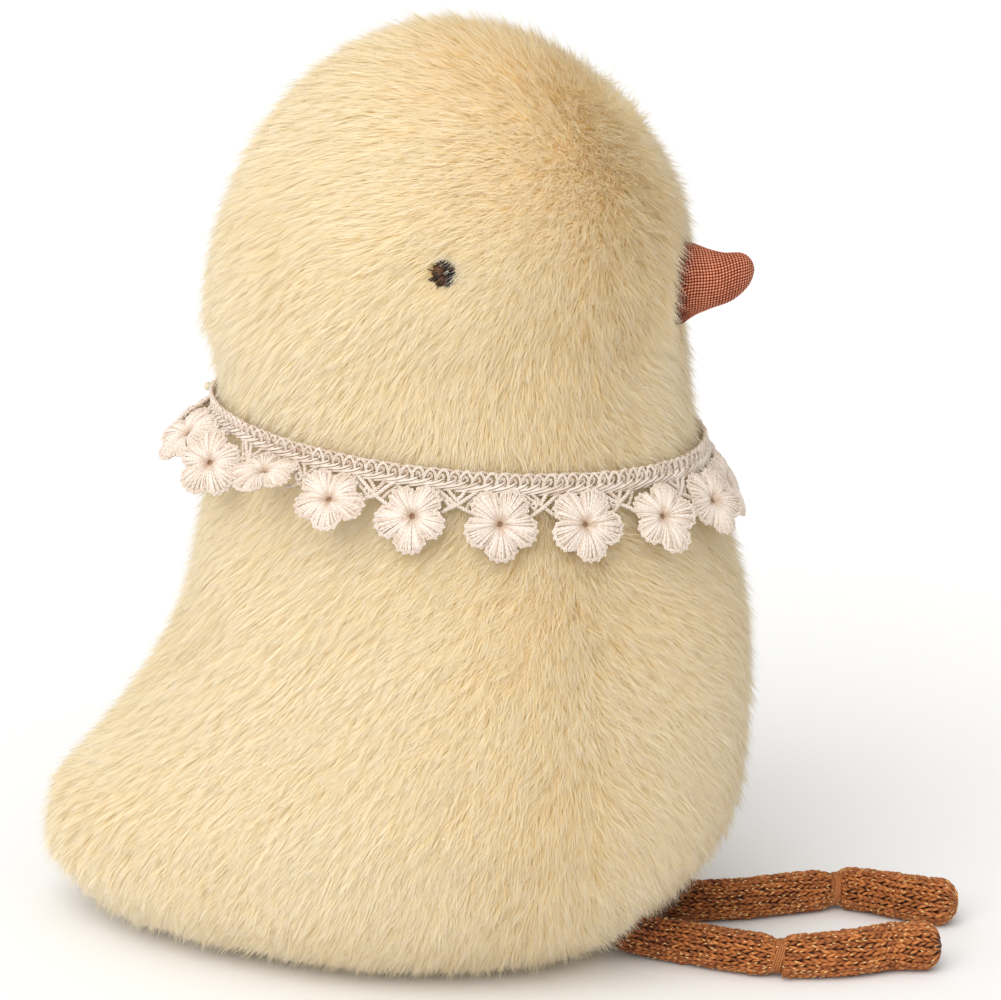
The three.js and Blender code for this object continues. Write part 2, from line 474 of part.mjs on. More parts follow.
FLOWERS.forEach((f, i) => put('lace_flower_' + String(i + 1).padStart(2, '0'), flowerGeometry(f), LACE));
for (const [side, leg] of [['right', right], ['left', left]]) {
  put('leg_knit_' + side, leg.knitUpper, KNIT);
  put('leg_core_' + side, leg.coreUpper, WOOL);
  put('hip_stitch_' + side, leg.stitch, CREAM);
  put('ankle_wrap_' + side, leg.wrap, KNIT);
  put('foot_knit_' + side, leg.knitFoot, KNIT);
  put('foot_core_' + side, leg.coreFoot, WOOL);
}
export default group;
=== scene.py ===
"""Sitting plush chick: looks. Metres, +Z up, the chick faces -Y, its right side is -X."""
import bpy
import math
import numpy as np
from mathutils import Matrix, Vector


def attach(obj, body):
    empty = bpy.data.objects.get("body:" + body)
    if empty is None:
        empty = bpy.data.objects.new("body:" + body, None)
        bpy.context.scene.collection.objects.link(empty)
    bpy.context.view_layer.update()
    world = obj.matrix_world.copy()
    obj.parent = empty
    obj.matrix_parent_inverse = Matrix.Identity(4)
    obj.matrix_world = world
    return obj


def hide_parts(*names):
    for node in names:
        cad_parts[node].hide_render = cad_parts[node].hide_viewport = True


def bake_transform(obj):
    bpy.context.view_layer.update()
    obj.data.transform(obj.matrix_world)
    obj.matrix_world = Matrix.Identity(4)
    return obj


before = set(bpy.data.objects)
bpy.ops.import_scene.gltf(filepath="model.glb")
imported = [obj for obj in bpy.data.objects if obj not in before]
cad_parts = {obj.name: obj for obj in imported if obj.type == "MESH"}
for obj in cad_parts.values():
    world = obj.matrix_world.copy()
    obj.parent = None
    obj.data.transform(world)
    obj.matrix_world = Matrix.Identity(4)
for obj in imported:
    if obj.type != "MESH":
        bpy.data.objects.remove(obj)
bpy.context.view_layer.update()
MM = 0.001
SHIFT = -1.2            # mm, as in the frame
rng = np.random.default_rng(7)
scene = bpy.context.scene
BODY = "body"

# ------------------------------------------------------------------ camera and light
TARGET = Vector((0.0, SHIFT * MM, 0.0861))
AZ, EL, DIST = math.radians(-80), math.radians(15), 0.713
back = Vector((math.sin(AZ) * math.cos(EL), -math.cos(AZ) * math.cos(EL), math.sin(EL)))
cam_data = bpy.data.cameras.new("camera")
cam_data.lens, cam_data.sensor_width, cam_data.clip_start, cam_data.clip_end = 135, 36, 0.01, 50
cam = bpy.data.objects.new("camera", cam_data)
cam.location = TARGET + back * DIST
cam.rotation_euler = (-back).to_track_quat("-Z", "Y").to_euler()
scene.collection.objects.link(cam)
scene.camera = cam
scene.view_settings.view_transform = "Standard"
scene.view_settings.look = "None"


world = bpy.data.worlds.new("world")
scene.world = world
world.use_nodes = True
wnt = world.node_tree
wtc = wnt.nodes.new("ShaderNodeTexCoord")
wdot = wnt.nodes.new("ShaderNodeVectorMath")
wdot.operation = "DOT_PRODUCT"
wdot.inputs[1].default_value = (-0.72, 0.40, 0.45)
wnt.links.new(wtc.outputs["Generated"], wdot.inputs[0])
wramp = wnt.nodes.new("ShaderNodeMapRange")
wramp.inputs["From Min"].default_value = -0.9
wramp.inputs["From Max"].default_value = 0.9
wramp.inputs["To Min"].default_value = 0.115
wramp.inputs["To Max"].default_value = 1.24
wnt.links.new(wdot.outputs["Value"], wramp.inputs["Value"])
wnt.nodes["Background"].inputs[0].default_value = (1.0, 0.995, 0.985, 1)
wnt.links.new(wramp.outputs[0], wnt.nodes["Background"].inputs[1])
sun_data = bpy.data.lights.new("soft_sun", "SUN")
sun_data.energy, sun_data.angle, sun_data.color = 1.45, math.radians(50), (1.0, 0.985, 0.96)
sun = bpy.data.objects.new("soft_sun", sun_data)
sun.rotation_euler = Vector((0.69, -0.20, -0.70)).to_track_quat("-Z", "Y").to_euler()
scene.collection.objects.link(sun)

# ------------------------------------------------------------------ body shape (as in the frame)
HEIGHT, NECK_Z, PW = 177.7, 122.0, 1.7
FRONT = np.array([-21.0, -25.8, -32.2, -39.4, -45.3, -47.5, -48.1, -47.2, -42.9, -37.0, -35.0])
BACK = np.array([64.0, 78.5, 86.6, 91.3, 89.4, 79.9, 69.7, 62.0, 57.8, 53.7, 56.4])
WIDTH = np.array([27.0, 33.2, 40.0, 45.4, 48.6, 50.4, 50.0, 48.0, 45.0, 42.5, 42.5])
DOME_F, DOME_B = [1.0, 1.07, 1.04, 0.92], [1.0, 0.97, 0.93, 0.7]
LV = np.linspace(0, 1, 11)
TH = np.radians([0, 30, 60, 90])
GUSSET = np.array([[0, 173.5], [6.5, 171.0], [12.5, 166.5], [19.5, 160.5], [24.5, 153.5], [28.5, 145.0], [31.0, 134.0],
                   [32.2, 118.0], [34.0, 103.0], [37.0, 89.0], [38.7, 75.0], [39.7, 64.0], [40.4, 52.0], [41.2, 38.0],
                   [40.5, 26.0], [37.5, 14.0], [35.5, -2.0]])


def pchip(xs, ys):
    xs, ys = np.asarray(xs, float), np.asarray(ys, float)
    h, d = np.diff(xs), np.diff(ys) / np.diff(xs)
    m = np.zeros(len(xs))
    for i in range(1, len(xs) - 1):
        if d[i - 1] * d[i] > 0:
            w1, w2 = 2 * h[i] + h[i - 1], h[i] + 2 * h[i - 1]
            m[i] = (w1 + w2) / (w1 / d[i - 1] + w2 / d[i])

    def end(h0, h1, d0, d1):
        v = ((2 * h0 + h1) * d0 - h0 * d1) / (h0 + h1)
        if v * d0 <= 0:
            return 0.0
        if d0 * d1 <= 0 and abs(v) > 3 * abs(d0):
            return 3 * d0
        return v
    m[0], m[-1] = end(h[0], h[1], d[0], d[1]), end(h[-1], h[-2], d[-1], d[-2])

    def f(x):
        x = np.asarray(x, float)
        i = np.clip(np.searchsorted(xs, x, side="right") - 1, 0, len(xs) - 2)
        t = np.clip((x - xs[i]) / h[i], 0, 1)
        t2, t3 = t * t, t * t * t
        return (2 * t3 - 3 * t2 + 1) * ys[i] + (t3 - 2 * t2 + t) * h[i] * m[i] + (-2 * t3 + 3 * t2) * ys[i + 1] + (t3 - t2) * h[i] * m[i + 1]
    return f


f_front, f_back, f_width = pchip(LV, FRONT), pchip(LV, BACK), pchip(LV, WIDTH)
f_df, f_db = pchip(TH, DOME_F), pchip(TH, DOME_B)


def slices(z):
    z = np.asarray(z, float)
    s = (np.clip(z, 0, NECK_Z) / NECK_Z) ** (1 / PW)
    f, b, w = f_front(s), f_back(s), f_width(s)
    th = np.arcsin(np.clip((z - NECK_Z) / (HEIGHT - NECK_Z), 0, 1))
    c = np.cos(th)
    mid, half = (FRONT[-1] + BACK[-1]) / 2, (BACK[-1] - FRONT[-1]) / 2
    up = z > NECK_Z
    f = np.where(up, mid - half * f_df(th) * c, f)
    b = np.where(up, mid + half * f_db(th) * c, b)
    w = np.where(up, WIDTH[-1] * (f_df(th) + f_db(th)) / 2 * c, w)
    return f, b, w


def body_points(z, t):
    """Outer shape at heights z and round angles t (0 tail side, pi face), mm, before the shift."""
    f, b, w = slices(z)
    k = np.clip((95 - z) / 60, 0, 1)
    m = 2.0 - 0.45 * np.clip((100 - z) / 60, 0, 1)
    yw = f + (b - f) * (0.5 - 0.07 * k)
    c, s = np.cos(t), np.sin(t)
    a = np.abs(c)
    gb = np.maximum(0, 1 - a ** m) ** (1 / 1.9)
    gf = np.sqrt(np.maximum(0, 1 - a * a))
    y = yw + np.where(c > 0, b - yw, yw - f) * c
    x = w * np.where(c > 0, gb, gf) * np.sign(s)
    return np.stack([x, y, z + 0 * x], -1)


def body_grid(nz_low, nz_dome, nt):
    s = np.linspace(0, 1, nz_low)
    z = NECK_Z * s ** PW
    th = np.linspace(0, np.radians(89), nz_dome)[1:]
    z = np.r_[z, NECK_Z + (HEIGHT - NECK_Z) * np.sin(th)]
    # even steps of angle round the body are fine where the tail is pointed
    t = np.linspace(0, 2 * np.pi, nt, endpoint=False) + np.pi / nt
    Z, T = np.meshgrid(z, t, indexing="ij")
    P = body_points(Z, T)
    return P, Z, T


def grid_normals(P, wrap=True):
    du = np.gradient(P, axis=0)
    dv = (np.roll(P, -1, 1) - np.roll(P, 1, 1)) if wrap else np.gradient(P, axis=1)
    n = np.cross(du, dv)
    n /= np.maximum(np.linalg.norm(n, axis=-1, keepdims=True), 1e-12)
    return n


# ------------------------------------------------------------------ mesh helpers
def new_mesh(name, verts, tris=None, quads=None, smooth=True):
    """A mesh object from arrays of metres and corner indices."""
    me = bpy.data.meshes.new(name)
    verts = np.asarray(verts, np.float32)
    parts, starts, n = [], [], 0
    if quads is not None and len(quads):
        q = np.asarray(quads, np.int32)
        parts.append(q.ravel())
        starts.append(np.arange(len(q), dtype=np.int32) * 4)
        n = len(q) * 4
    if tris is not None and len(tris):
        t = np.asarray(tris, np.int32)
        parts.append(t.ravel())
        starts.append(np.arange(len(t), dtype=np.int32) * 3 + n)
    corners, starts = np.concatenate(parts), np.concatenate(starts)
    me.vertices.add(len(verts))
    me.vertices.foreach_set("co", verts.ravel())
    me.loops.add(len(corners))
    me.loops.foreach_set("vertex_index", corners)
    me.polygons.add(len(starts))
    me.polygons.foreach_set("loop_start", starts)
    if smooth:
        me.polygons.foreach_set("use_smooth", np.ones(len(starts), bool))
    me.update(calc_edges=True)
    o = bpy.data.objects.new(name, me)
    scene.collection.objects.link(o)
    return o


def add_uv(o, uv_vert, name="OFBake"):
    """uv per vertex, copied to the corners."""
    me = o.data
    idx = np.empty(len(me.loops), np.int32)
    me.loops.foreach_get("vertex_index", idx)
    layer = me.uv_layers.new(name=name)
    layer.uv.foreach_set("vector", np.asarray(uv_vert, np.float32)[idx].ravel())


def add_attr(o, name, values):
    a = o.data.attributes.new(name, "FLOAT", "POINT")
    a.data.foreach_set("value", np.asarray(values, np.float32))


class Tubes:
    """Collects round threads with tapering ends as one mesh."""

    def __init__(self):
        self.v, self.q, self.t, self.a, self.uv, self.n = [], [], [], [], [], 0

    def add(self, P, R, sides=6, tone=0.5, cap=True, flat=1.0, up=None):
        """P [tubes, points, 3] mm, R scalar or [tubes, points] mm."""
        P = np.asarray(P, float)
        if P.ndim == 2:
            P = P[None]
        k, m = P.shape[:2]
        R = np.broadcast_to(np.asarray(R, float), (k, m))
        T = np.gradient(P, axis=1)
        T /= np.maximum(np.linalg.norm(T, axis=-1, keepdims=True), 1e-9)
        ref = np.where(np.abs(T[:, 0, 2:3]) > 0.8, [[1.0, 0, 0]], [[0, 0, 1.0]])
        S = np.empty_like(T)
        cur = np.cross(ref, T[:, 0])
        for i in range(m):
            cur = cur - T[:, i] * np.sum(T[:, i] * cur, 1, keepdims=True)
            cur = cur / np.maximum(np.linalg.norm(cur, axis=1, keepdims=True), 1e-9)
            S[:, i] = cur
        U = np.cross(T, S)
        ang = 2 * np.pi * np.arange(sides) / sides
        ring = P[:, :, None] + R[:, :, None, None] * (np.cos(ang)[None, None, :, None] * S[:, :, None] + flat * np.sin(ang)[None, None, :, None] * U[:, :, None])
        base = self.n + np.arange(k)[:, None, None] * (m * sides)
        i = np.arange(m - 1)[None, :, None]
        j = np.arange(sides)[None, None, :]
        a = base + i * sides + j
        b = base + i * sides + (j + 1) % sides
        self.q.append(np.stack([a, b, b + sides, a + sides], -1).reshape(-1, 4))
        self.v.append(ring.reshape(-1, 3))
        tone = np.broadcast_to(np.asarray(tone, float).reshape(-1, 1) if np.ndim(tone) else tone, (k, m))
        self.a.append(np.repeat(tone[:, :, None], sides, 2).reshape(-1))
        self.n += k * m * sides
        if cap:
            ends = np.concatenate([P[:, :1] - T[:, :1] * R[:, :1, None] * 0.7, P[:, -1:] + T[:, -1:] * R[:, -1:, None] * 0.7], 1)
            e = self.n + np.arange(k)[:, None] * 2
            b0 = (base[:, 0] + j[0]).reshape(k, sides)
            b1 = b0 + (m - 1) * sides
            for first, bb, col in ((True, b0, 0), (False, b1, 1)):
                nxt = np.roll(bb, -1, 1)
                tip = np.repeat(e[:, :1] + col, sides, 1)
                tri = np.stack([nxt, bb, tip], -1) if first else np.stack([bb, nxt, tip], -1)
                self.t.append(tri.reshape(-1, 3))
            self.v.append(ends.reshape(-1, 3))
            self.a.append(np.stack([tone[:, 0], tone[:, -1]], 1).reshape(-1))
            self.n += 2 * k

    def grid(self, P, closed=False, tone=0.5):
        """A surface of points [a, b, 3], closed round b."""
        a, b = P.shape[:2]
        j = np.arange(b if closed else b - 1)
        i = np.arange(a - 1)[:, None]
        p = self.n + i * b + j
        q = self.n + i * b + (j + 1) % b
        self.q.append(np.stack([p, q, q + b, p + b], -1).reshape(-1, 4))
        self.v.append(P.reshape(-1, 3))
        self.a.append(np.broadcast_to(tone, P.shape[:2]).reshape(-1).astype(float))
        self.n += a * b

    def make(self, name, shift=True):
        v = np.concatenate(self.v)
        if shift:
            v = v + [0, SHIFT, 0]
        o = new_mesh(name, v * MM, np.concatenate(self.t) if self.t else None, np.concatenate(self.q))
        tone = np.concatenate(self.a)
        add_attr(o, "tone", tone)
        return o


# ------------------------------------------------------------------ materials
def material(name, rough=0.8, spec=0.3, sheen=0.0, sheen_rough=0.4, metal=0.0, sub=0.0):
    m = bpy.data.materials.new(name)
    m.use_nodes = True
    nt = m.node_tree
    b = nt.nodes["Principled BSDF"]
    b.inputs["Roughness"].default_value = rough
    b.inputs["Specular IOR Level"].default_value = spec
    b.inputs["Metallic"].default_value = metal
    b.inputs["Sheen Weight"].default_value = sheen
    b.inputs["Sheen Roughness"].default_value = sheen_rough
    return m, nt, b


def node(nt, kind, **inputs):
    n = nt.nodes.new(kind)
    for k, v in inputs.items():
        if hasattr(n, k):
            setattr(n, k, v)
        else:
            n.inputs[k.replace("_", " ")].default_value = v
    return n


def ramp(nt, fac, stops):
    r = nt.nodes.new("ShaderNodeValToRGB")
    e = r.color_ramp.elements
    e[0].position, e[0].color = stops[0][0], (*stops[0][1], 1)
    e[1].position, e[1].color = stops[-1][0], (*stops[-1][1], 1)
    for p, c in stops[1:-1]:
        k = e.new(p)
        k.color = (*c, 1)
    nt.links.new(fac, r.inputs[0])
    return r


def mul(nt, a, b, fac=1.0):
    m = nt.nodes.new("ShaderNodeMix")
    m.data_type, m.blend_type = "RGBA", "MULTIPLY"
    m.inputs[0].default_value = fac
    nt.links.new(a, m.inputs[6])
    nt.links.new(b, m.inputs[7])
    return m.outputs[2]


def fur_material():
    m, nt, b = material("fur", rough=0.7, spec=0.22, sheen=0.2, sheen_rough=0.5)
    uv = nt.nodes.new("ShaderNodeUVMap")
    uv.uv_map = "OFBake"
    sep = nt.nodes.new("ShaderNodeSeparateXYZ")
    nt.links.new(uv.outputs[0], sep.inputs[0])
    col = ramp(nt, sep.outputs[1], [(0.0, (1.0, 0.80, 0.38)), (0.35, (1.0, 0.86, 0.53)), (0.7, (0.985, 0.895, 0.69)), (1.0, (0.95, 0.915, 0.84))])
    var = ramp(nt, sep.outputs[0], [(0.0, (0.96, 0.80, 0.50)), (0.35, (0.99, 0.93, 0.79)), (0.65, (1.0, 0.99, 0.97)), (1.0, (1.0, 1.0, 1.0))])
    final = mul(nt, col.outputs[0], var.outputs[0])
    nt.links.new(final, b.inputs["Base Color"])
    # painted glow standing in for light passed on from fibre to fibre: a little warmth from deep in the pile,
    # strongest at the roots and fading to the tips
    painted_glow = nt.nodes.new("ShaderNodeMath")
    painted_glow.operation = "MULTIPLY_ADD"
    nt.links.new(sep.outputs[1], painted_glow.inputs[0])
    painted_glow.inputs[1].default_value = -0.062
    painted_glow.inputs[2].default_value = 0.064
    nt.links.new(col.outputs[0], b.inputs["Emission Color"])
    nt.links.new(painted_glow.outputs[0], b.inputs["Emission Strength"])
    m.cycles.emission_sampling = "NONE"
    tr = nt.nodes.new("ShaderNodeBsdfTranslucent")
    nt.links.new(final, tr.inputs["Color"])
    mx = nt.nodes.new("ShaderNodeMixShader")
    mx.inputs[0].default_value = 0.34
    nt.links.new(b.outputs[0], mx.inputs[1])
    nt.links.new(tr.outputs[0], mx.inputs[2])
    nt.links.new(mx.outputs[0], nt.nodes["Material Output"].inputs[0])
    return m


def skin_material():
    m, nt, b = material("fur_backing", rough=0.9, spec=0.1)
    tc = nt.nodes.new("ShaderNodeTexCoord")
    n = node(nt, "ShaderNodeTexNoise", Scale=900.0, Detail=3.0)
    nt.links.new(tc.outputs["Object"], n.inputs["Vector"])
    c = ramp(nt, n.outputs[0], [(0.3, (0.96, 0.72, 0.34)), (0.7, (1.0, 0.82, 0.48))])
    nt.links.new(c.outputs[0], b.inputs["Base Color"])
    return m


def tone_material(name, stops, noise_scale=0.0, noise_amount=0.0, **kw):
    """Colour from the piece's tone attribute, which on most pieces carries painted shade and painted highlight besides
    real colour, with a little procedural unevenness.
    """
    m, nt, b = material(name, **kw)
    at = nt.nodes.new("ShaderNodeAttribute")
    at.attribute_name = "tone"
    fac = at.outputs["Fac"]
    if noise_amount:
        tc = nt.nodes.new("ShaderNodeTexCoord")
        n = node(nt, "ShaderNodeTexNoise", Scale=noise_scale, Detail=2.0)
        nt.links.new(tc.outputs["Object"], n.inputs["Vector"])
        k = nt.nodes.new("ShaderNodeMath")
        k.operation = "MULTIPLY_ADD"
        nt.links.new(n.outputs[0], k.inputs[0])
        k.inputs[1].default_value = noise_amount
        nt.links.new(fac, k.inputs[2])
        k2 = nt.nodes.new("ShaderNodeMath")
        k2.operation = "SUBTRACT"
        nt.links.new(k.outputs[0], k2.inputs[0])
        k2.inputs[1].default_value = noise_amount * 0.5
        fac = k2.outputs[0]
    c = ramp(nt, fac, stops)
    nt.links.new(c.outputs[0], b.inputs["Base Color"])
    return m


FUR, SKINM = fur_material(), skin_material()
# lace cotton: the dark low end of the ramp is painted shade for threads behind, lower layers and the centre holes, the
# top end is painted highlight on raised stitch tops
LACE = tone_material("lace_cotton", [(0.0, (0.32, 0.17, 0.08)), (0.35, (0.58, 0.435, 0.33)), (0.7, (0.74, 0.635, 0.545)), (1.0, (0.86, 0.775, 0.70))],
                     900.0, 0.25, rough=0.75, spec=0.25, sheen=0.1)
# beak linen: the near-black low end is painted shade between threads and in the folds, the bright top end is painted
# highlight on raised thread tops
LINEN = tone_material("beak_linen", [(0.0, (0.04, 0.006, 0.003)), (0.28, (0.20, 0.040, 0.016)), (0.55, (0.62, 0.20, 0.105)), (1.0, (1.0, 0.56, 0.39))],
                      1500.0, 0.28, rough=0.8, spec=0.2, sheen=0.05)
# leg yarn: the near-black low end is painted shade in the gaps between stitches, the top end is painted highlight on
# the stitch crowns
YARN = tone_material("leg_yarn", [(0.0, (0.018, 0.004, 0.001)), (0.35, (0.11, 0.027, 0.005)), (0.7, (0.33, 0.098, 0.020)), (1.0, (0.58, 0.21, 0.055))],
                     1300.0, 0.20, rough=0.6, spec=0.35, sheen=0.05)
WRAP = tone_material("wrap_thread", [(0.0, (0.05, 0.013, 0.004)), (0.4, (0.22, 0.068, 0.017)), (1.0, (0.50, 0.19, 0.06))],
                     1500.0, 0.25, rough=0.6, spec=0.3)
EYET = tone_material("eye_thread", [(0.0, (0.004, 0.002, 0.001)), (0.5, (0.012, 0.005, 0.0025)), (0.8, (0.035, 0.013, 0.005)), (1.0, (0.14, 0.055, 0.025))],
                     2500.0, 0.5, rough=0.5, spec=0.4)
LUREX, _nt, _b = material("metallic_strand", rough=0.28, spec=0.5, metal=1.0)
_b.inputs["Base Color"].default_value = (1.0, 0.74, 0.36, 1)

# ------------------------------------------------------------------ floor
floor_v = np.array([[-4, -4, 0], [4, -4, 0], [4, 4, 0], [-4, 4, 0]], float)
floor = new_mesh("floor", floor_v - [0, 0, 0.0002], quads=[[0, 1, 2, 3]])
fm, fnt, fb = material("floor", rough=0.9, spec=0.0)
fb.inputs["Base Color"].default_value = (0.89, 0.89, 0.89, 1)
floor.data.materials.append(fm)

# ------------------------------------------------------------------ fur backing
INSET = 2.7


def seam_x(z):
    return np.interp(z, GUSSET[::-1, 1], GUSSET[::-1, 0])


def inset(P, N, d):
    Q = P - N * d
    Q[..., 2] = np.maximum(Q[..., 2], 0.25 + 0.2 * (P[..., 2] > 0.01))
    return Q


P, Z, T = body_grid(120, 60, 220)
N = grid_normals(P)
S = inset(P, N, INSET)
rows, cols = S.shape[:2]
verts = S.reshape(-1, 3)
i = np.arange(rows - 1)[:, None]
j = np.arange(cols)[None]
qa = i * cols + j
qb = i * cols + (j + 1) % cols
quads = np.stack([qa, qb, qb + cols, qa + cols], -1).reshape(-1, 4)
cent = verts[quads].mean(1)
is_front = (np.abs(cent[:, 0]) < seam_x(cent[:, 2])) & (cent[:, 1] < 3)
is_base = cent[:, 2] < 4.2
kinds = {"front_panel": is_front & ~is_base, "base_panel": is_base,
         "side_panel_right": ~is_front & ~is_base & (cent[:, 0] < 0), "side_panel_left": ~is_front & ~is_base & (cent[:, 0] >= 0)}
skins = {}
for name, pick in kinds.items():
    q = quads[pick]
    extra_v, extra_t = [], []
    if name == "base_panel":          # close the underside
        c = verts[:cols].mean(0)
        extra_v = [c]
        k = len(verts)
        extra_t = [[k, (jj + 1) % cols, jj] for jj in range(cols)]
    if name in ("side_panel_right", "side_panel_left"):   # close the crown
        c = verts[-cols:].mean(0)
        extra_v = [c]
        k, top = len(verts), (rows - 1) * cols
        extra_t = [[k, top + jj, top + (jj + 1) % cols] for jj in range(cols) if (verts[top + jj][0] < 0) == (name == "side_panel_right")]
    allv = np.vstack([verts, extra_v]) if len(extra_v) else verts
    used = np.unique(np.concatenate([q.ravel(), np.array(extra_t, int).ravel()]))
    remap = -np.ones(len(allv), int)
    remap[used] = np.arange(len(used))
    o = new_mesh("fur_backing_" + name, (allv[used] + [0, SHIFT, 0]) * MM, remap[np.array(extra_t)] if extra_t else None, remap[q])
    o.data.materials.append(SKINM)
    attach(o, BODY)
    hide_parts(name)
    skins[name] = o

# ------------------------------------------------------------------ fur
P, Z, T = body_grid(150, 80, 260)
N = grid_normals(P)
rows, cols = P.shape[:2]
SK = inset(P, N, INSET)


def sample(n, seed):
    """n even random points of the backing: position, normal, and the backing's total area."""
    r = np.random.default_rng(seed)
    a, b = SK[:-1], SK[1:]
    a2, b2 = np.roll(a, -1, 1), np.roll(b, -1, 1)
    area = np.linalg.norm(np.cross(a2 - a, b - a), axis=-1)
    area += 0
    cdf = np.cumsum(area.ravel())
    u = (np.arange(n) + r.random(n)) / n * cdf[-1]
    f = np.minimum(np.searchsorted(cdf, u), cdf.size - 1)
    fi, fj = f // cols, f % cols
    s, t = r.random(n)[:, None], r.random(n)[:, None]
    fj2 = (fj + 1) % cols

    def lerp(G):
        return (G[fi, fj] * (1 - s) + G[fi + 1, fj] * s) * (1 - t) + (G[fi, fj2] * (1 - s) + G[fi + 1, fj2] * s) * t
    nn = lerp(N)
    return lerp(SK), nn / np.linalg.norm(nn, axis=1, keepdims=True), cdf[-1]


def smooth(x, a, b):
    t = np.clip((x - a) / (b - a), 0, 1)
    return t * t * (3 - 2 * t)


def noise3(p, scale, seed):
    """Cheap smooth noise from a few sine waves, about -1 to 1."""
    r = np.random.default_rng(seed)
    out = np.zeros(len(p))
    for _ in range(6):
        k = r.normal(size=3)
        k *= (2 * np.pi / scale) * (0.6 + 0.8 * r.random()) / np.linalg.norm(k)
        out += np.sin(p @ k + r.random() * 6.28)
    return out / 2.6


# where the two directions of the pile part, height then distance from the middle
PART = np.array([[0, 28, -14], [10, 31, -17], [20, 36, -22], [30, 40, -23.5], [40, 41.5, -24], [50, 42, -24], [60, 41.5, -24], [68, 40.5, -23],
                 [75, 39, -22.5], [82, 37, -22.5], [90, 34.5, -22], [98, 31, -24], [106, 28, -26], [114, 25.5, -26], [122, 23, -28], [130, 20.5, -30],
                 [138, 18, -31], [144, 16.5, -30], [150, 15.5, -28], [156, 14, -24], [160, 12, -22], [165, 9, -18], [172, 3, -14]], float)
EYE_Y, EYE_Z = 2.7, 138.4
BEAK_C = np.array([0.0, -35.0, 130.0])


def nap(p, n):
    """Lie of the pile: unit tangent direction and lean from the normal, per point."""
    x, y, z = p.T
    sx, sy = np.interp(z, PART[:, 0], PART[:, 1]), np.interp(z, PART[:, 0], PART[:, 2])
    # signed distance from the parting: front < 0 < back
    side = np.hypot(np.abs(x) - sx, y - sy) * np.where((np.abs(x) < sx) & (y < sy), -1.0, 1.0)
    w = smooth(side + np.random.default_rng(17).normal(0, 3.0, len(p)), -8.0, 6.0)
    # flow behind the seam: back and down
    near = np.exp(-np.maximum(side, 0) / 9.0)
    head = smooth(z, 108, 128)
    a_side = np.radians(np.where(z > 110, 32 + 20 * smooth(-z, -150, -118), 0) * head + (1 - head) * (52 + 10 * smooth(-z, -60, -20)))
    a_side = a_side + np.radians(28) * near * (1 - 0.4 * smooth(z, 140, 165))
    a_side = a_side + np.radians(22) * smooth(z, 92, 104) * (1 - smooth(z, 116, 128)) * smooth(-y, -30, 5)
    fs = np.stack([0 * x, np.cos(a_side), -np.sin(a_side)], -1)
    # front panel: down, and away from the seam to the middle
    a_front = np.radians(62 - 18 * smooth(z, 125, 160))
    ff = np.stack([-np.sign(x) * 0.35 * smooth(np.abs(x), 3, 20), -np.cos(a_front), -np.sin(a_front)], -1)
    F = fs * w[:, None] + ff * (1 - w)[:, None]
    F += 0.10 * np.stack([noise3(p, 22, 3), noise3(p, 22, 4), noise3(p, 22, 5)], -1)
    F -= n * np.sum(F * n, 1, keepdims=True)
    strength = np.linalg.norm(F, axis=1)
    F /= np.maximum(strength, 1e-6)[:, None]
    # the pile stands up along the parting, most over the brow and the breast, and lies smooth elsewhere
    brow = np.exp(-((z - 150) / 24) ** 2)
    breast = np.exp(-((z - 76) / 17) ** 2)
    mess = np.exp(-(side / np.where(side > 0, 9 + 13 * brow, 9.0)) ** 2)
    lean = 62 - (9 - 2 * brow + 6 * breast) * mess
    lean -= 26 * smooth(-z, -12, -2)
    ruff = np.clip(0.12 + 0.88 * np.exp(-(np.maximum(side, 0) / 24) ** 2) * np.exp(-(np.minimum(side, 0) / 12) ** 2), 0, 1)
    ruff = np.maximum(ruff, 0.35 * smooth(-z, -40, -10))
    return F, np.radians(lean), side, ruff


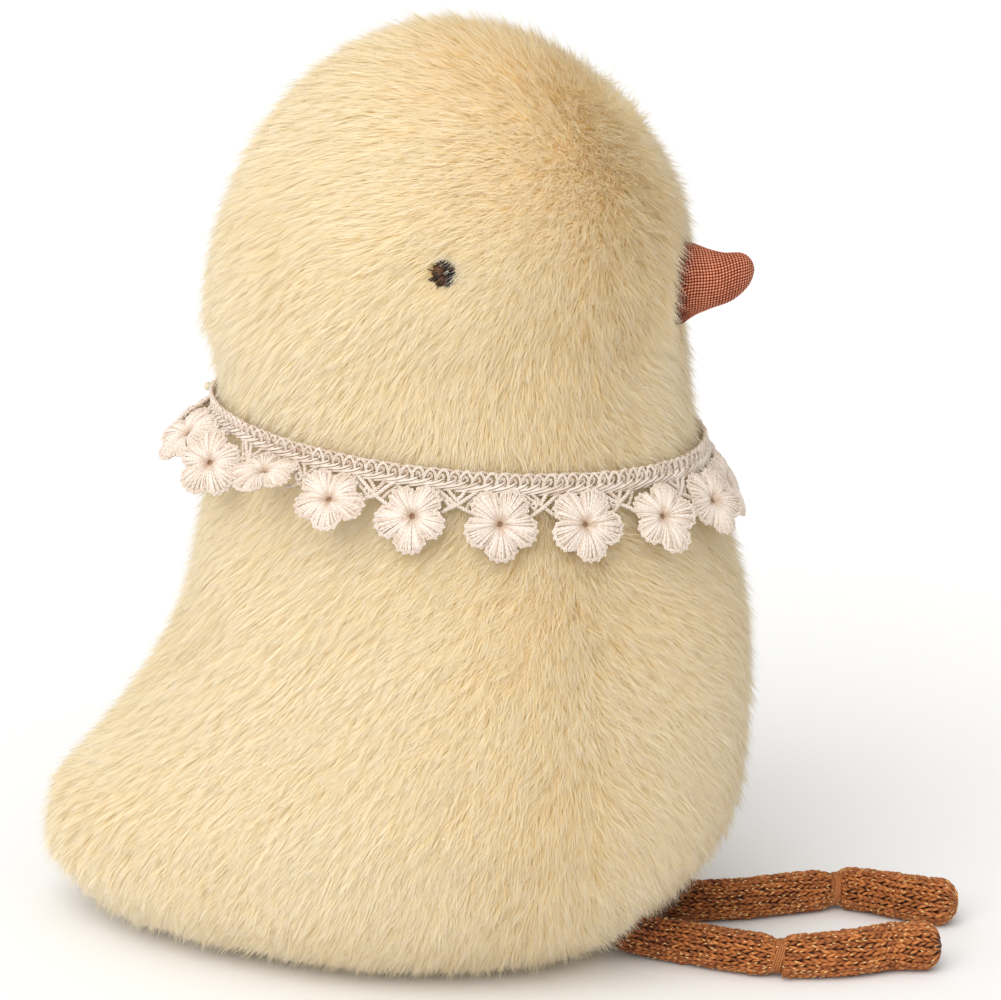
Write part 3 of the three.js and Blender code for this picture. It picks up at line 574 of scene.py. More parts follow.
def grow(name, clumps, per, seed, width=0.068, length=5.4, spread=0.30, raised=0.0, gather=0.62, crest=False):
    c0, n0, area = sample(clumps, seed)
    r = np.random.default_rng(seed + 1)
    F, lean, side, ruff = nap(c0, n0)
    lean = lean - np.radians(raised)
    keep = np.ones(len(c0), bool)
    if crest:                       # short upright pile that fills the parting itself
        wide = np.exp(-((c0[:, 2] - 150) / 22) ** 2)
        thin = np.maximum(0, side) / (5 + 9 * wide) + np.maximum(0, -side) / (5 + 3 * wide)
        keep &= (r.random(len(c0)) < np.exp(-thin ** 2)) & (c0[:, 2] > 50) & (c0[:, 1] < 8)
    # nothing grows where the beak is sewn on, or through the eyes
    db = np.hypot(c0[:, 0] / 7.0, (c0[:, 2] - 130) / 7.4)
    keep &= ~((db < 1) & (c0[:, 1] < -20))
    de = np.hypot(c0[:, 1] - EYE_Y, c0[:, 2] - EYE_Z)
    keep &= ~((de < 2.0) & (np.abs(c0[:, 0]) > 30))
    keep &= ~((np.hypot(c0[:, 0], c0[:, 1] - 20) < 18) & (c0[:, 2] < 0.6))
    c0, n0, F, lean, ruff, de, db = c0[keep], n0[keep], F[keep], lean[keep], ruff[keep], de[keep], db[keep]
    k = len(c0)
    B = np.cross(n0, F)
    # the clump's own direction, length and tip
    low = smooth(-c0[:, 2], -11, -1.5)
    yaw = np.radians(r.normal(0, 1, k) * (4 + 10 * ruff) * (1 + 3 * low) + (3 + 9 * ruff) * noise3(c0, 7, 11))
    yaw = yaw * (4 if crest else 1)
    Fc = F * np.cos(yaw)[:, None] + B * np.sin(yaw)[:, None]
    lc = lean + np.radians(r.normal(0, 1, k) * (2.5 + 4.5 * ruff))
    lenc = length * (1 + (0.03 + 0.07 * ruff) * r.normal(size=k) + 0.04 * noise3(c0, 12, 12))
    lenc *= 1 - 0.30 * low
    eye = np.exp(-((de - 2.0) / 1.5) ** 2) * (np.abs(c0[:, 0]) > 30)
    lenc *= 1 - 0.35 * eye
    lenc *= 1 - 0.32 * np.exp(-((db - 1) / 0.35) ** 2) * (c0[:, 1] < -15)
    # strands
    idx = np.repeat(np.arange(k), per)
    m = len(idx)
    off = r.normal(0, spread, (m, 2))
    root = c0[idx] + F[idx] * off[:, :1] + B[idx] * off[:, 1:]
    n = n0[idx]
    ly = np.radians(r.normal(0, 1, m) * (6 + 8 * ruff[idx]))
    d = Fc[idx] * np.cos(ly)[:, None] + B[idx] * np.sin(ly)[:, None]
    la = lc[idx] + np.radians(r.normal(0, 5, m) * (0.7 + 0.6 * ruff[idx]))
    ln = lenc[idx] * (0.72 + 0.36 * r.random(m))
    conv = gather * (r.random(m) * 0.5 + 0.5) * ((0.30 + 0.70 * ruff[idx]) if name == "pile" else 1.0)
    pull = -(F[idx] * off[:, :1] + B[idx] * off[:, 1:]) * conv[:, None]
    us = np.array([0.0, 0.5, 1.0])
    pts = [root - n * 0.15]
    prev = pts[0]
    for q in (1, 2):
        u0, u1 = us[q - 1], us[q]
        ang = la + np.radians(26) * ((u0 + u1) / 2 - 0.55)
        prev = prev + (n * np.cos(ang)[:, None] + d * np.sin(ang)[:, None]) * (ln * (u1 - u0))[:, None]
        pts.append(prev + pull * (0.45 if q == 1 else 1.0))
    C = np.stack(pts, 1)
    C[..., 2] = np.maximum(C[..., 2], 0.15 + 0.25 * r.random((m, 1)))
    run = C[:, 2] - C[:, 0]
    wdir = np.cross(run, n)
    wdir /= np.maximum(np.linalg.norm(wdir, axis=1, keepdims=True), 1e-9)
    # blades are turned a little on edge so that rims look full from any side
    tw = r.normal(0, 0.5, m)
    fdir = np.cross(wdir, run)
    fdir /= np.maximum(np.linalg.norm(fdir, axis=1, keepdims=True), 1e-9)
    fdir *= np.sign(np.sum(fdir * n, 1, keepdims=True) + 1e-9)
    wd = wdir * np.cos(tw)[:, None] + fdir * np.sin(tw)[:, None]
    wid = width * (0.7 + 0.6 * r.random(m))
    V = np.empty((m, 5, 3))
    for q, wk in ((0, 1.0), (1, 0.85)):
        V[:, 2 * q] = C[:, q] - wd * (wid * wk)[:, None]
        V[:, 2 * q + 1] = C[:, q] + wd * (wid * wk)[:, None]
    V[:, 4] = C[:, 2]
    # faces turned outward
    e = np.cross(V[:, 1] - V[:, 0], V[:, 3] - V[:, 0])
    flip = np.sum(e * n, 1) < 0
    V[flip] = V[flip][:, [1, 0, 3, 2, 4]]
    sg = np.where(flip, -1.0, 1.0)[:, None] * np.array([-1, 1, -1, 1, 0.0])
    tone = np.clip(0.68 - 0.08 * ruff[idx] + 0.06 * noise3(root, 30, 21) + (0.08 + 0.26 * ruff[idx]) * r.normal(size=m), 0, 1)
    tone = 0.02 + 0.96 * tone
    UV = np.empty((m, 5, 2))
    UV[..., 1] = 0.004 + 0.992 * np.array([0.0, 0.0, 0.5, 0.5, 1.0])
    UV[..., 0] = np.clip(tone[:, None] + 0.006 * np.array([-1, 1, -1, 1, 0.0]), 0.001, 0.999)
    # shading normal: between the cloth's and the blade's own
    NN = np.repeat((n * 0.8 + fdir * 0.3)[:, None], 5, 1) + wd[:, None] * sg[:, :, None] * 0.3
    NN /= np.linalg.norm(NN, axis=-1, keepdims=True)
    # split by place so that each piece stays moderate
    side_right = root[:, 0] < 0
    front = (np.abs(root[:, 0]) < seam_x(root[:, 2])) & (root[:, 1] < 3)
    zone = np.where(root[:, 2] > 122, 3, np.where(root[:, 2] > 70, 2, np.where(root[:, 2] > 30, 1, 0)))
    group = np.where(front, 0, np.where(side_right, 1, 2))
    for g, gname in enumerate(("front", "right", "left")):
        for zz, zname in enumerate(("seat", "low", "high", "head")):
            sel = np.where((group == g) & (zone == zz))[0]
            if not len(sel):
                continue
            parts = max(1, int(np.ceil(len(sel) * 3 / 190000)))
            for part in range(parts):
                s = sel[part::parts]
                q = np.array([[0, 1, 3, 2]])[None] + (np.arange(len(s)) * 5)[:, None, None]
                t = np.array([[2, 3, 4]])[None] + (np.arange(len(s)) * 5)[:, None, None]
                nm = f"fur_{name}_{gname}_{zname}" + (f"_{part + 1}" if parts > 1 else "")
                o = new_mesh(nm, (V[s].reshape(-1, 3) + [0, SHIFT, 0]) * MM, t.reshape(-1, 3), q.reshape(-1, 4))
                add_uv(o, UV[s].reshape(-1, 2))
                o.data.normals_split_custom_set_from_vertices(NN[s].reshape(-1, 3))
                o.data.materials.append(FUR)
                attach(o, BODY)


grow("pile", 128000, 6, 100, width=0.058, spread=0.42, gather=0.85)
grow("tufts", 20000, 5, 300, width=0.062, length=7.1, spread=0.24, raised=7.0, gather=1.25)
grow("crest", 130000, 4, 500, width=0.055, length=4.0, spread=0.35, raised=14.0, gather=0.6, crest=True)

# ------------------------------------------------------------------ what is inside, in its own stuff
def inner_material(name, c0, c1, scale, rough=0.9):
    m, nt, b = material(name, rough=rough, spec=0.15)
    tc = nt.nodes.new("ShaderNodeTexCoord")
    n = node(nt, "ShaderNodeTexNoise", Scale=scale, Detail=4.0)
    nt.links.new(tc.outputs["Object"], n.inputs["Vector"])
    c = ramp(nt, n.outputs[0], [(0.35, c0), (0.65, c1)])
    nt.links.new(c.outputs[0], b.inputs["Base Color"])
    return m


FIBRE = inner_material("white_fibre", (0.62, 0.61, 0.58), (0.86, 0.85, 0.82), 700.0)
LINING = inner_material("bag_lining", (0.42, 0.37, 0.29), (0.60, 0.55, 0.46), 1500.0)
PELLETS = inner_material("pellets", (0.50, 0.48, 0.42), (0.82, 0.80, 0.74), 500.0, 0.5)
SEWING = inner_material("sewing_thread", (0.62, 0.54, 0.38), (0.80, 0.73, 0.56), 2000.0)
for nm, mt in [("fibre_filling", FIBRE), ("pellet_bag", LINING), ("pellet_fill", PELLETS), ("eye_thread", EYET), ("collar_tack", SEWING),
               ("hip_stitch_right", SEWING), ("hip_stitch_left", SEWING), ("leg_core_right", FIBRE), ("leg_core_left", FIBRE),
               ("foot_core_right", FIBRE), ("foot_core_left", FIBRE)]:
    node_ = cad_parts[nm]
    node_.data.materials.clear()
    node_.data.materials.append(mt)


# ------------------------------------------------------------------ collar path (as in the frame)
BAND_H, BAND_OFF, BAND_T, GAP = 3.8, 0.7, 0.9, 0.35


def body_off(z, t, off):
    f, b, w = slices(z)
    k = np.clip((95 - z) / 60, 0, 1)
    m = 2.0 - 0.45 * np.clip((100 - z) / 60, 0, 1)
    yw = f + (b - f) * (0.5 - 0.07 * k)
    c, sn = np.cos(t), np.sin(t)
    a = np.abs(c)
    g = np.where(c > 0, np.maximum(0, 1 - a ** m) ** (1 / 1.9), np.sqrt(np.maximum(0, 1 - a * a)))
    return np.stack([(w + off) * g * np.sign(sn), yw + (np.where(c > 0, b - yw, yw - f) + off) * c, z + 0 * c], -1)


def band_point(t, dz, off):
    t = np.asarray(t, float)
    z = np.full(np.broadcast(t, dz).shape, 101.8)
    for _ in range(12):
        y = body_off(z, t + 0 * z, 0.0)[..., 1]
        z = 97.6 + (106.0 - 97.6) * np.clip((y + 37) / 91, 0, 1)
    return body_off(z + dz, t + 0 * z, off)


class Lace:
    """Local frame along the collar: a along it in mm, b up from its middle, h out of the fur."""

    def __init__(self):
        self.n = 1440
        t = -2 * np.pi * (np.arange(self.n + 1) / self.n)          # from the nape towards the right side
        t[0] = -1e-4
        t[-1] = -2 * np.pi + 1e-4
        self.t = t
        self.dz = np.linspace(-15, 4, 39)
        self.G = np.stack([band_point(t, d, 0.0) for d in self.dz], 1)
        mid = band_point(t, 0.0, BAND_OFF)
        self.s = np.r_[0, np.cumsum(np.linalg.norm(np.diff(mid, axis=0), axis=1))]
        self.L = self.s[-1]
        du = np.gradient(self.G, axis=0)
        dv = np.gradient(self.G, axis=1)
        N = np.cross(du, dv)
        N /= np.linalg.norm(N, axis=-1, keepdims=True)
        c = self.G.mean((0, 1))
        if np.sum(N * (self.G - c)) < 0:
            N = -N
        self.N = N

    def at(self, a, b, h):
        a = np.mod(a, self.L)
        i = np.interp(a, self.s, np.arange(self.n + 1))
        j = np.clip((b - self.dz[0]) / (self.dz[1] - self.dz[0]), 0, len(self.dz) - 1.001)
        i0, j0 = np.minimum(i.astype(int), self.n - 1), j.astype(int)
        u, v = (i - i0)[..., None], (j - j0)[..., None]

        def bil(G):
            return (G[i0, j0] * (1 - u) + G[i0 + 1, j0] * u) * (1 - v) + (G[i0, j0 + 1] * (1 - u) + G[i0 + 1, j0 + 1] * u) * v
        n = bil(self.N)
        n /= np.linalg.norm(n, axis=-1, keepdims=True)
        return bil(self.G) + n * (BAND_OFF + np.asarray(h))[..., None]

    def arc(self, turn):
        return np.interp(turn, -self.t / (2 * np.pi), self.s)


lace = Lace()
lr = np.random.default_rng(31)


def smooth_path(ctrl, n):
    """Catmull-Rom through the control points [k, c, d] -> [k, n, d]."""
    ctrl = np.asarray(ctrl, float)
    if ctrl.ndim == 2:
        ctrl = ctrl[None]
    c = np.concatenate([2 * ctrl[:, :1] - ctrl[:, 1:2], ctrl, 2 * ctrl[:, -1:] - ctrl[:, -2:-1]], 1)
    m = ctrl.shape[1] - 1
    x = np.linspace(0, m, n)
    i = np.minimum(x.astype(int), m - 1)
    t = (x - i)[None, :, None]
    p0, p1, p2, p3 = c[:, i], c[:, i + 1], c[:, i + 2], c[:, i + 3]
    return 0.5 * (2 * p1 + (p2 - p0) * t + (2 * p0 - 5 * p1 + 4 * p2 - p3) * t * t + (3 * p1 - p0 - 3 * p2 + p3) * t ** 3)


def ply(P, radius, strand, pitch, phase=0.0, out=None):
    """Two strands twisted round the path P [k, n, 3]."""
    T = np.gradient(P, axis=1)
    T /= np.maximum(np.linalg.norm(T, axis=-1, keepdims=True), 1e-9)
    ref = np.array([0.3, 0.2, 0.93]) if out is None else out
    S = np.cross(T, ref)
    S /= np.maximum(np.linalg.norm(S, axis=-1, keepdims=True), 1e-9)
    U = np.cross(T, S)
    d = np.r_[np.zeros((1, len(P))), np.cumsum(np.linalg.norm(np.diff(P, axis=1), axis=-1), 1).T].T
    ang = 2 * np.pi * d / pitch + np.asarray(phase).reshape(-1, 1)
    res = []
    for k in (0, np.pi):
        res.append(P + radius * (np.cos(ang + k)[..., None] * S + np.sin(ang + k)[..., None] * U))
    return np.concatenate(res, 0), strand


def lace_ply(tb, ctrl, n, radius=0.17, strand=0.2, pitch=0.95, tone=0.62, jitter=0.05):
    """Twisted cords given as control points (a, b, h) in the collar's frame."""
    ctrl = np.asarray(ctrl, float)
    P = smooth_path(ctrl, n)
    P = P + jitter * lr.normal(size=(len(P), 1, 3)) * [1, 1, 0.4]
    W = lace.at(P[..., 0], P[..., 1], P[..., 2])
    away = W - [0, 8.0, 0]
    away[..., 2] = 0
    Q, r = ply(W, radius, strand, pitch, lr.random(len(W)) * 6.28, out=away)
    tb.add(Q, r, sides=5, tone=np.clip(tone + 0.1 * lr.normal(size=len(Q)), 0.1, 1))


FLOWERS = [
    [0.055, 46, -10, 8], [0.105, 28, -36, -14], [0.160, 70, 0, 5], [0.203, 40, -4, 12], [0.251, 12, 0, -3],
    [0.302, 8, 0, 0], [0.353, 10, 3, 4], [0.406, 14, 12, 10], [0.458, 16, 12, -8],
    [0.510, 8, 5, 6], [0.570, 14, 4, -4], [0.629, 10, 0, 3], [0.688, 8, 2, -8], [0.747, 8, -4, 6],
    [0.806, 10, -6, -3], [0.865, 20, -10, 9], [0.924, 34, -6, -6], [0.985, 44, 6, 4],
]

# heading: arched loops over a slanting braid
tb = Tubes()
K = int(round(lace.L / 2.15))
pp = lace.L / K
base = np.arange(K) * pp
j = lr.normal(0, 0.07, (K, 8, 1)) * [1, 1, 0.6]


def row(pts):
    c = np.array(pts, float)[None].repeat(K, 0)
    c[..., 0] += base[:, None]
    return c + j[:, :c.shape[1]]


lace_ply(tb, row([(-1.25, -0.75, 0.05), (-0.85, 0.35, 0.45), (-0.2, 1.25, 0.5), (0.45, 1.62, 0.5), (0.95, 1.15, 0.5), (1.2, 0.2, 0.5), (1.05, -0.8, 0.2)]), 34, 0.15, 0.19, 1.0, 0.7)
lace_ply(tb, row([(-0.5, 0.1, 0.1), (0.0, 0.8, 0.3), (0.4, 0.45, 0.35), (0.2, -0.2, 0.1)]), 14, 0.15, 0.19, 0.8, 0.55)
lace_ply(tb, row([(-0.2, 1.45, 0.2), (0.9, 1.72, 0.25), (2.0, 1.45, 0.2)]), 14, 0.12, 0.15, 0.9, 0.5)
for off_, lift, tn in (((0.0, 0.0), 0.62, 0.76), ((0.22, -0.44), 0.50, 0.64)):
    c = row([(-2.6, -1.72, 0.05), (-1.2, -1.42, lift * 0.8), (0.4, -0.95, lift), (1.6, -0.5, lift * 0.85), (2.3, -0.15, 0.1)]) + [off_[0], off_[1], 0]
    P = smooth_path(c, 12)
    W = lace.at(P[..., 0], P[..., 1], P[..., 2])
    tb.add(W, 0.225 * np.array([0.6, 0.9, 1, 1, 1, 1, 1, 1, 1, 0.95, 0.8, 0.6]), sides=6, tone=np.clip(tn + 0.1 * lr.normal(size=K), 0, 1))
# the foundation thread behind, darker as painted shade
aa = np.linspace(0, lace.L, 900)
for b0, rr, tn in ((-1.55, 0.17, 0.4), (-0.75, 0.13, 0.35), (1.3, 0.13, 0.35)):
    W = lace.at(aa[:-1], np.full(899, b0) + 0.05 * np.sin(aa[:-1] * 2.9), np.full(899, 0.0))
    tb.add(np.vstack([W, W[:2]]), rr, sides=5, tone=tn, cap=False)
# crossed bars between the flowers
mids = []
for i in range(18):
    a0 = lace.arc(FLOWERS[i][0])
    a1 = lace.arc(FLOWERS[(i + 1) % 18][0]) + (lace.L if i == 17 else 0)
    mids.append((a0 + a1) / 2)
mids = np.array(mids)


fl = np.array([f_[1] for f_ in FLOWERS], float)
mid_flare = np.sin(np.radians((fl + np.roll(fl, -1)) / 2))


def bars(pts, n, **kw):
    c = np.array(pts, float)[None].repeat(18, 0)
    c[..., 0] += mids[:, None]
    c[..., 2] += np.maximum(0, -c[..., 1] - 1.7) * mid_flare[:, None] * 0.9
    c += lr.normal(0, 0.12, c.shape) * [1, 1, 0.3]
    lace_ply(tb, c, n, **kw)


for sg in (-1, 1):
    bars([(sg * 3.9, -1.5, 0.1), (sg * 2.1, -2.9, 0.35), (sg * 0.2, -4.3, 0.5 + 0.14 * sg), (-sg * 1.6, -5.4, 0.35), (-sg * 3.0, -6.3, 0.1)], 60, radius=0.2, strand=0.235, pitch=1.2, tone=0.72)
    bars([(sg * 1.7, -1.6, 0.1), (sg * 0.9, -2.6, 0.3), (-sg * 0.2, -3.9, 0.5 - 0.1 * sg)], 26, radius=0.19, strand=0.225, pitch=1.15, tone=0.68)
    bars([(sg * 4.6, -1.7, 0.0), (sg * 3.4, -2.9, 0.15), (sg * 2.2, -4.1, 0.2), (sg * 1.3, -5.2, 0.2)], 40, radius=0.18, strand=0.21, pitch=1.1, tone=0.62)
ringang = np.linspace(0, 2 * np.pi, 12)
ringc = np.stack([-1.35 + 0.5 * np.cos(ringang), -4.05 + 0.5 * np.sin(ringang), 0 * ringang + 0.5], -1)
bars(ringc, 26, radius=0.13, strand=0.17, tone=0.74)
band = tb.make("lace_band_crochet")
band.data.materials.append(LACE)
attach(band, BODY)
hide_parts("lace_band")

# flowers: five domed petals of radial stitches with a beaded edge
PET = np.radians([-90, -18, 54, 126, 198])


def outline(p):
    """Petal radius over p from -1 to 1 across one petal."""
    return 3.95 + 2.45 * np.maximum(0, 1 - np.abs(p) ** 2.4) ** 0.62


for fi, (turn, flare, twist, spin) in enumerate(FLOWERS):
    fr = np.random.default_rng(500 + fi)
    t = -2 * math.pi * turn
    a = band_point(t, -BAND_H / 2 - GAP, BAND_OFF + 0.5)
    b = band_point(t + 0.02, -BAND_H / 2, 0.0)
    c = band_point(t - 0.02, -BAND_H / 2, 0.0)
    along = (b - c) / np.linalg.norm(b - c)
    low_a, low_b = band_point(t, -BAND_H / 2, 0.0), band_point(t, -BAND_H / 2 - 12, 0.0)
    out = np.array([along[1], -along[0], 0.0])
    out /= np.linalg.norm(out)
    if out @ np.array([a[0], a[1] - 8, 0.0]) < 0:
        out = -out
    f = math.atan2((low_b - low_a) @ out, 12) + math.radians(flare)
    down = np.array([0, 0, -math.cos(f)]) + out * math.sin(f)
    side = np.cross(np.cross(along, down), down)
    side /= np.linalg.norm(side)
    tw = math.radians(twist)
    side = side * math.cos(tw) + np.cross(down, side) * math.sin(tw) + down * (down @ side) * (1 - math.cos(tw))
    up = -down
    n = np.cross(side, up)
    if n @ out < 0:
        side, n = -side, -n
    centre = a + down * 5.0 + out * (0.45 + abs(math.sin(tw)) * 3.2)
    sp = math.radians(spin)

    def place(r, ang, h):
        x, y = r * np.cos(ang + sp), r * np.sin(ang + sp)
        return centre + x[..., None] * side + y[..., None] * up + h[..., None] * n
    ft = Tubes()
    size = 1 + 0.04 * fr.normal()
    for k, pa in enumerate(PET):
        big = size * (1 + 0.05 * fr.normal()) * (1.06 if k == 0 else 1.0)
        curl = 0.5 * fr.normal()
        M = 19
        p = np.linspace(-1.0, 1.0, M) + fr.normal(0, 0.02, M)
        R = outline(p) * big
        q = np.linspace(0, 1, 15)[None]
        r = 0.55 + (R[:, None] - 0.35 - 0.55) * q
        # stitches leave the centre bunched and fan out across the petal
        ang = pa + np.radians(36) * (p[:, None] * (0.90 + 0.10 * q) + 0.05 * fr.normal(size=(M, 1)) * (1 - q))
        dome = 0.95 * np.sin(np.pi * np.clip(q * 0.92, 0, 1)) ** 0.8 * (1 - 0.40 * (p[:, None]) ** 2 * q)
        h = -0.25 + dome + 0.35 * (q ** 2) * curl * (1 - np.abs(p[:, None])) + 0.07 * fr.normal(size=(M, 1))
        P = place(r, ang + np.radians(1.2) * fr.normal(size=(M, 1)), h)
        twistp = 2 * np.pi * (R[:, None] * q / 0.8 + fr.random((M, 1)))
        P = P + n * (0.05 * np.cos(twistp))[..., None]
        rad = (0.15 + 0.085 * q) * (0.9 + 0.2 * fr.random((M, 1))) * (1 + 0.2 * np.sin(twistp))
        # tone: painted highlight on the raised middle of each stitch and on the ply bumps, painted shade towards the
        # centre where the stitches bunch
        tone = np.clip(0.64 + 0.1 * fr.normal(size=(M, 1)) + 0.14 * np.sin(np.pi * q) + 0.10 * np.sin(twistp), 0, 1) * (0.35 + 0.65 * np.minimum(1, q * 2.6 + 0.12))
        ft_n = ft.n
        ft.add(P, rad, sides=6, tone=0.5)
        ft.a[-2] = np.repeat(tone[:, :, None], 6, 2).reshape(-1)
        ft.a[-1] = np.stack([tone[:, 0], tone[:, -1]], 1).reshape(-1)
        # a second, lower layer fills between, a little darker as painted shade
        p2 = (p[1:] + p[:-1]) / 2
        R2 = outline(p2) * big
        r2 = 0.8 + (R2[:, None] - 0.5 - 0.8) * q
        h2 = h[1:] - 0.2
        P2 = place(r2, pa + np.radians(36) * p2[:, None], h2)
        ft.add(P2, 0.2, sides=5, tone=0.5)
        # beaded edge
        pe = np.linspace(-1.0, 1.0, 54)
        Re = (outline(pe) * big - 0.28)
        he = -0.02 + 0.35 * curl * (1 - np.abs(pe)) + 0.12 * np.sin(pe * 21 + k)
        E = place(Re, pa + np.radians(36) * pe, he)[None]
        Q, rs = ply(E, 0.2, 0.21, 0.98, np.array([fr.random() * 6]), out=n)
        ft.add(Q, rs, sides=5, tone=np.clip(0.66 + 0.06 * fr.normal(), 0, 1))
        # small picots standing out of the edge
        for pk in np.linspace(-0.82, 0.82, 6) + fr.normal(0, 0.03, 6):
            Rp = outline(pk) * big
            x = np.array([-0.28, -0.17, 0.0, 0.17, 0.28])
            rr_ = Rp - 0.15 + np.array([0, 0.28, 0.4, 0.28, 0])
            aa_ = pa + np.radians(36) * pk + x / Rp
            ft.add(place(rr_, aa_, np.full(5, 0.0 + 0.35 * curl * (1 - abs(pk)))), 0.17, sides=5, tone=0.72)
    # a backing disc behind the stitches, darker than them as painted shade in the gaps, with a near-black middle as
    # painted shadow in the centre hole
    gr = np.array([0.06, 0.3, 0.62, 1.5, 2.4, 3.3, 4.0])[:, None]
    ga = np.linspace(0, 2 * np.pi, 40, endpoint=False)[None]
    disc = place(gr + 0 * ga, ga + 0 * gr, -0.42 + 0.45 * np.sin(np.pi * np.maximum(gr - 0.6, 0) / 3.9) + 0 * ga)
    ft.grid(disc, closed=True, tone=np.where(gr + 0 * ga < 0.7, 0.05, 0.42))
    ft.grid(place(gr + 0 * ga, ga + 0 * gr, -0.52 + 0.45 * np.sin(np.pi * np.maximum(gr - 0.6, 0) / 3.9) + 0 * ga)[:, ::-1], closed=True, tone=0.42)
    fo = ft.make(f"crochet_flower_{fi + 1:02d}")
    fo.data.materials.append(LACE)
    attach(fo, BODY)
    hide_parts(f"lace_flower_{fi + 1:02d}")

# ------------------------------------------------------------------ beak: woven linen cone
by = np.array([-26.0, -30.0, -33.0, -34.6, -35.9, -37.2, -38.6, -40.2, -41.8, -43.4, -44.7, -45.9, -46.8, -47.35, -47.62])
bz = np.array([129.4, 129.5, 129.6, 129.75, 129.9, 130.0, 130.05, 130.25, 130.5, 130.95, 131.4, 131.75, 132.0, 132.2, 132.3])
bh = np.array([8.4, 8.3, 8.1, 7.6, 6.95, 6.35, 5.8, 5.25, 4.82, 4.5, 4.05, 3.3, 2.3, 1.2, 0.02])
f_bz, f_bh = pchip(-by, bz), pchip(-by, bh)
# even steps along the surface so that the weave keeps its pitch
yy = np.linspace(26.0, 47.62, 4000)
hh = f_bh(yy)
ds = np.hypot(np.diff(yy), np.diff(hh))
sl = np.r_[0, np.cumsum(ds)]
PITCH = 0.575
NB, NR = 190, 420
ys = np.interp(np.linspace(0, sl[-1] - 0.02, NB), sl, yy)
sv = np.linspace(0, sl[-1] - 0.02, NB)[:, None]
phi = np.linspace(0, 2 * np.pi, NR, endpoint=False)[None]          # 0 = the chick's right side, pi/2 = top
R = f_bh(ys)[:, None]
zc = f_bz(ys)[:, None]
# folds gathered at the base
depth = np.clip((36.6 - ys) / 3.2, 0, 1)[:, None]
fold = depth * (0.34 * np.sin(9 * phi + 2.1 * np.sin(2 * phi) + 0.9 * sv) + 0.22 * np.sin(17 * phi - 1.6 * sv + 1.0))
soft = 0.10 * np.sin(3 * phi + 0.6 * sv + 1.1) * np.clip((ys[:, None] - 34) / 3, 0, 1) * np.clip((46.5 - ys[:, None]) / 3, 0, 1)
# weave laid straight on each cheek, curving over the top: flattened cone coordinates
near = np.abs(np.angle(np.exp(1j * phi))) * R           # arc from the right cheek
arc_r = np.angle(np.exp(1j * phi)) * R
arc_l = np.angle(np.exp(1j * (phi - np.pi))) * R
right = np.cos(phi) >= 0
arc = np.where(right, arc_r, arc_l)
apex = sl[-1] + 9.0
dist = apex - sv
psi = arc / np.maximum(dist, 3)
wa = dist * np.cos(psi) + 0.10 * np.sin(arc * 0.8 + 0.5) + depth * 0.5 * np.sin(arc * 0.9)
wb = dist * np.sin(psi) + 0.08 * np.sin(sv * 0.9) + depth * 0.6 * np.sin(arc * 1.3 + sv)
u, v = np.pi * wa / PITCH, np.pi * wb / PITCH
# plain weave: alternate threads rise
lat = np.cos(u) * np.cos(v)
warp = np.abs(np.cos(u)) ** 0.6 * (0.5 + 0.5 * lat / np.maximum(np.abs(np.cos(u)), 0.05))
iu, iv = np.round(u / np.pi), np.round(v / np.pi)
du_, dv_ = u / np.pi - iu, v / np.pi - iv
par = np.where((iu + iv) % 2 == 0, 1.0, -1.0)
ta = np.sqrt(np.maximum(0, 1 - (2 * du_ * 0.93) ** 2)) * (0.62 + 0.38 * par * np.cos(np.pi * dv_))
tb_ = np.sqrt(np.maximum(0, 1 - (2 * dv_ * 0.93) ** 2)) * (0.62 - 0.38 * par * np.cos(np.pi * du_))
hgt = np.maximum(ta, tb_)
slub = 0.12 * np.sin(iu * 12.9898) * np.cos(dv_ * 2) + 0.12 * np.sin(iv * 78.233)
Rd = R + np.minimum(1, R / 1.2) * (0.24 * (hgt - 0.8) * (1 + slub) + fold + soft)
pos = np.stack([-Rd * np.cos(phi) * 0.98, -ys[:, None] + 0 * phi, zc + Rd * np.sin(phi)], -1)
bk = Tubes()
# tone: painted highlight on the raised thread tops, painted shade between the threads, towards the base and in the
# fold hollows there, with real slub unevenness
tone = np.clip(-0.08 + 0.92 * hgt ** 2.6 + 0.25 * slub - 0.25 * depth - 0.30 * depth * (0.5 + 0.5 * np.sin(9 * phi + 2.1 * np.sin(2 * phi) + 0.9 * sv + np.pi)), 0, 1)
bk.grid(pos[:, ::-1], closed=True, tone=tone[:, ::-1])
# closed tip
kk = bk.n
bk.v.append(pos[-1].mean(0)[None] - [0, 0.02, 0])
bk.a.append(np.array([0.6]))
lastrow = (NB - 1) * NR
idx = np.arange(NR)
bk.t.append(np.stack([lastrow + idx, lastrow + (idx + 1) % NR, np.full(NR, kk)], -1))
bk.n += 1
beak = bk.make("linen_beak")
beak.data.materials.append(LINEN)
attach(beak, BODY)
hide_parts("beak_cover", "beak_filling")

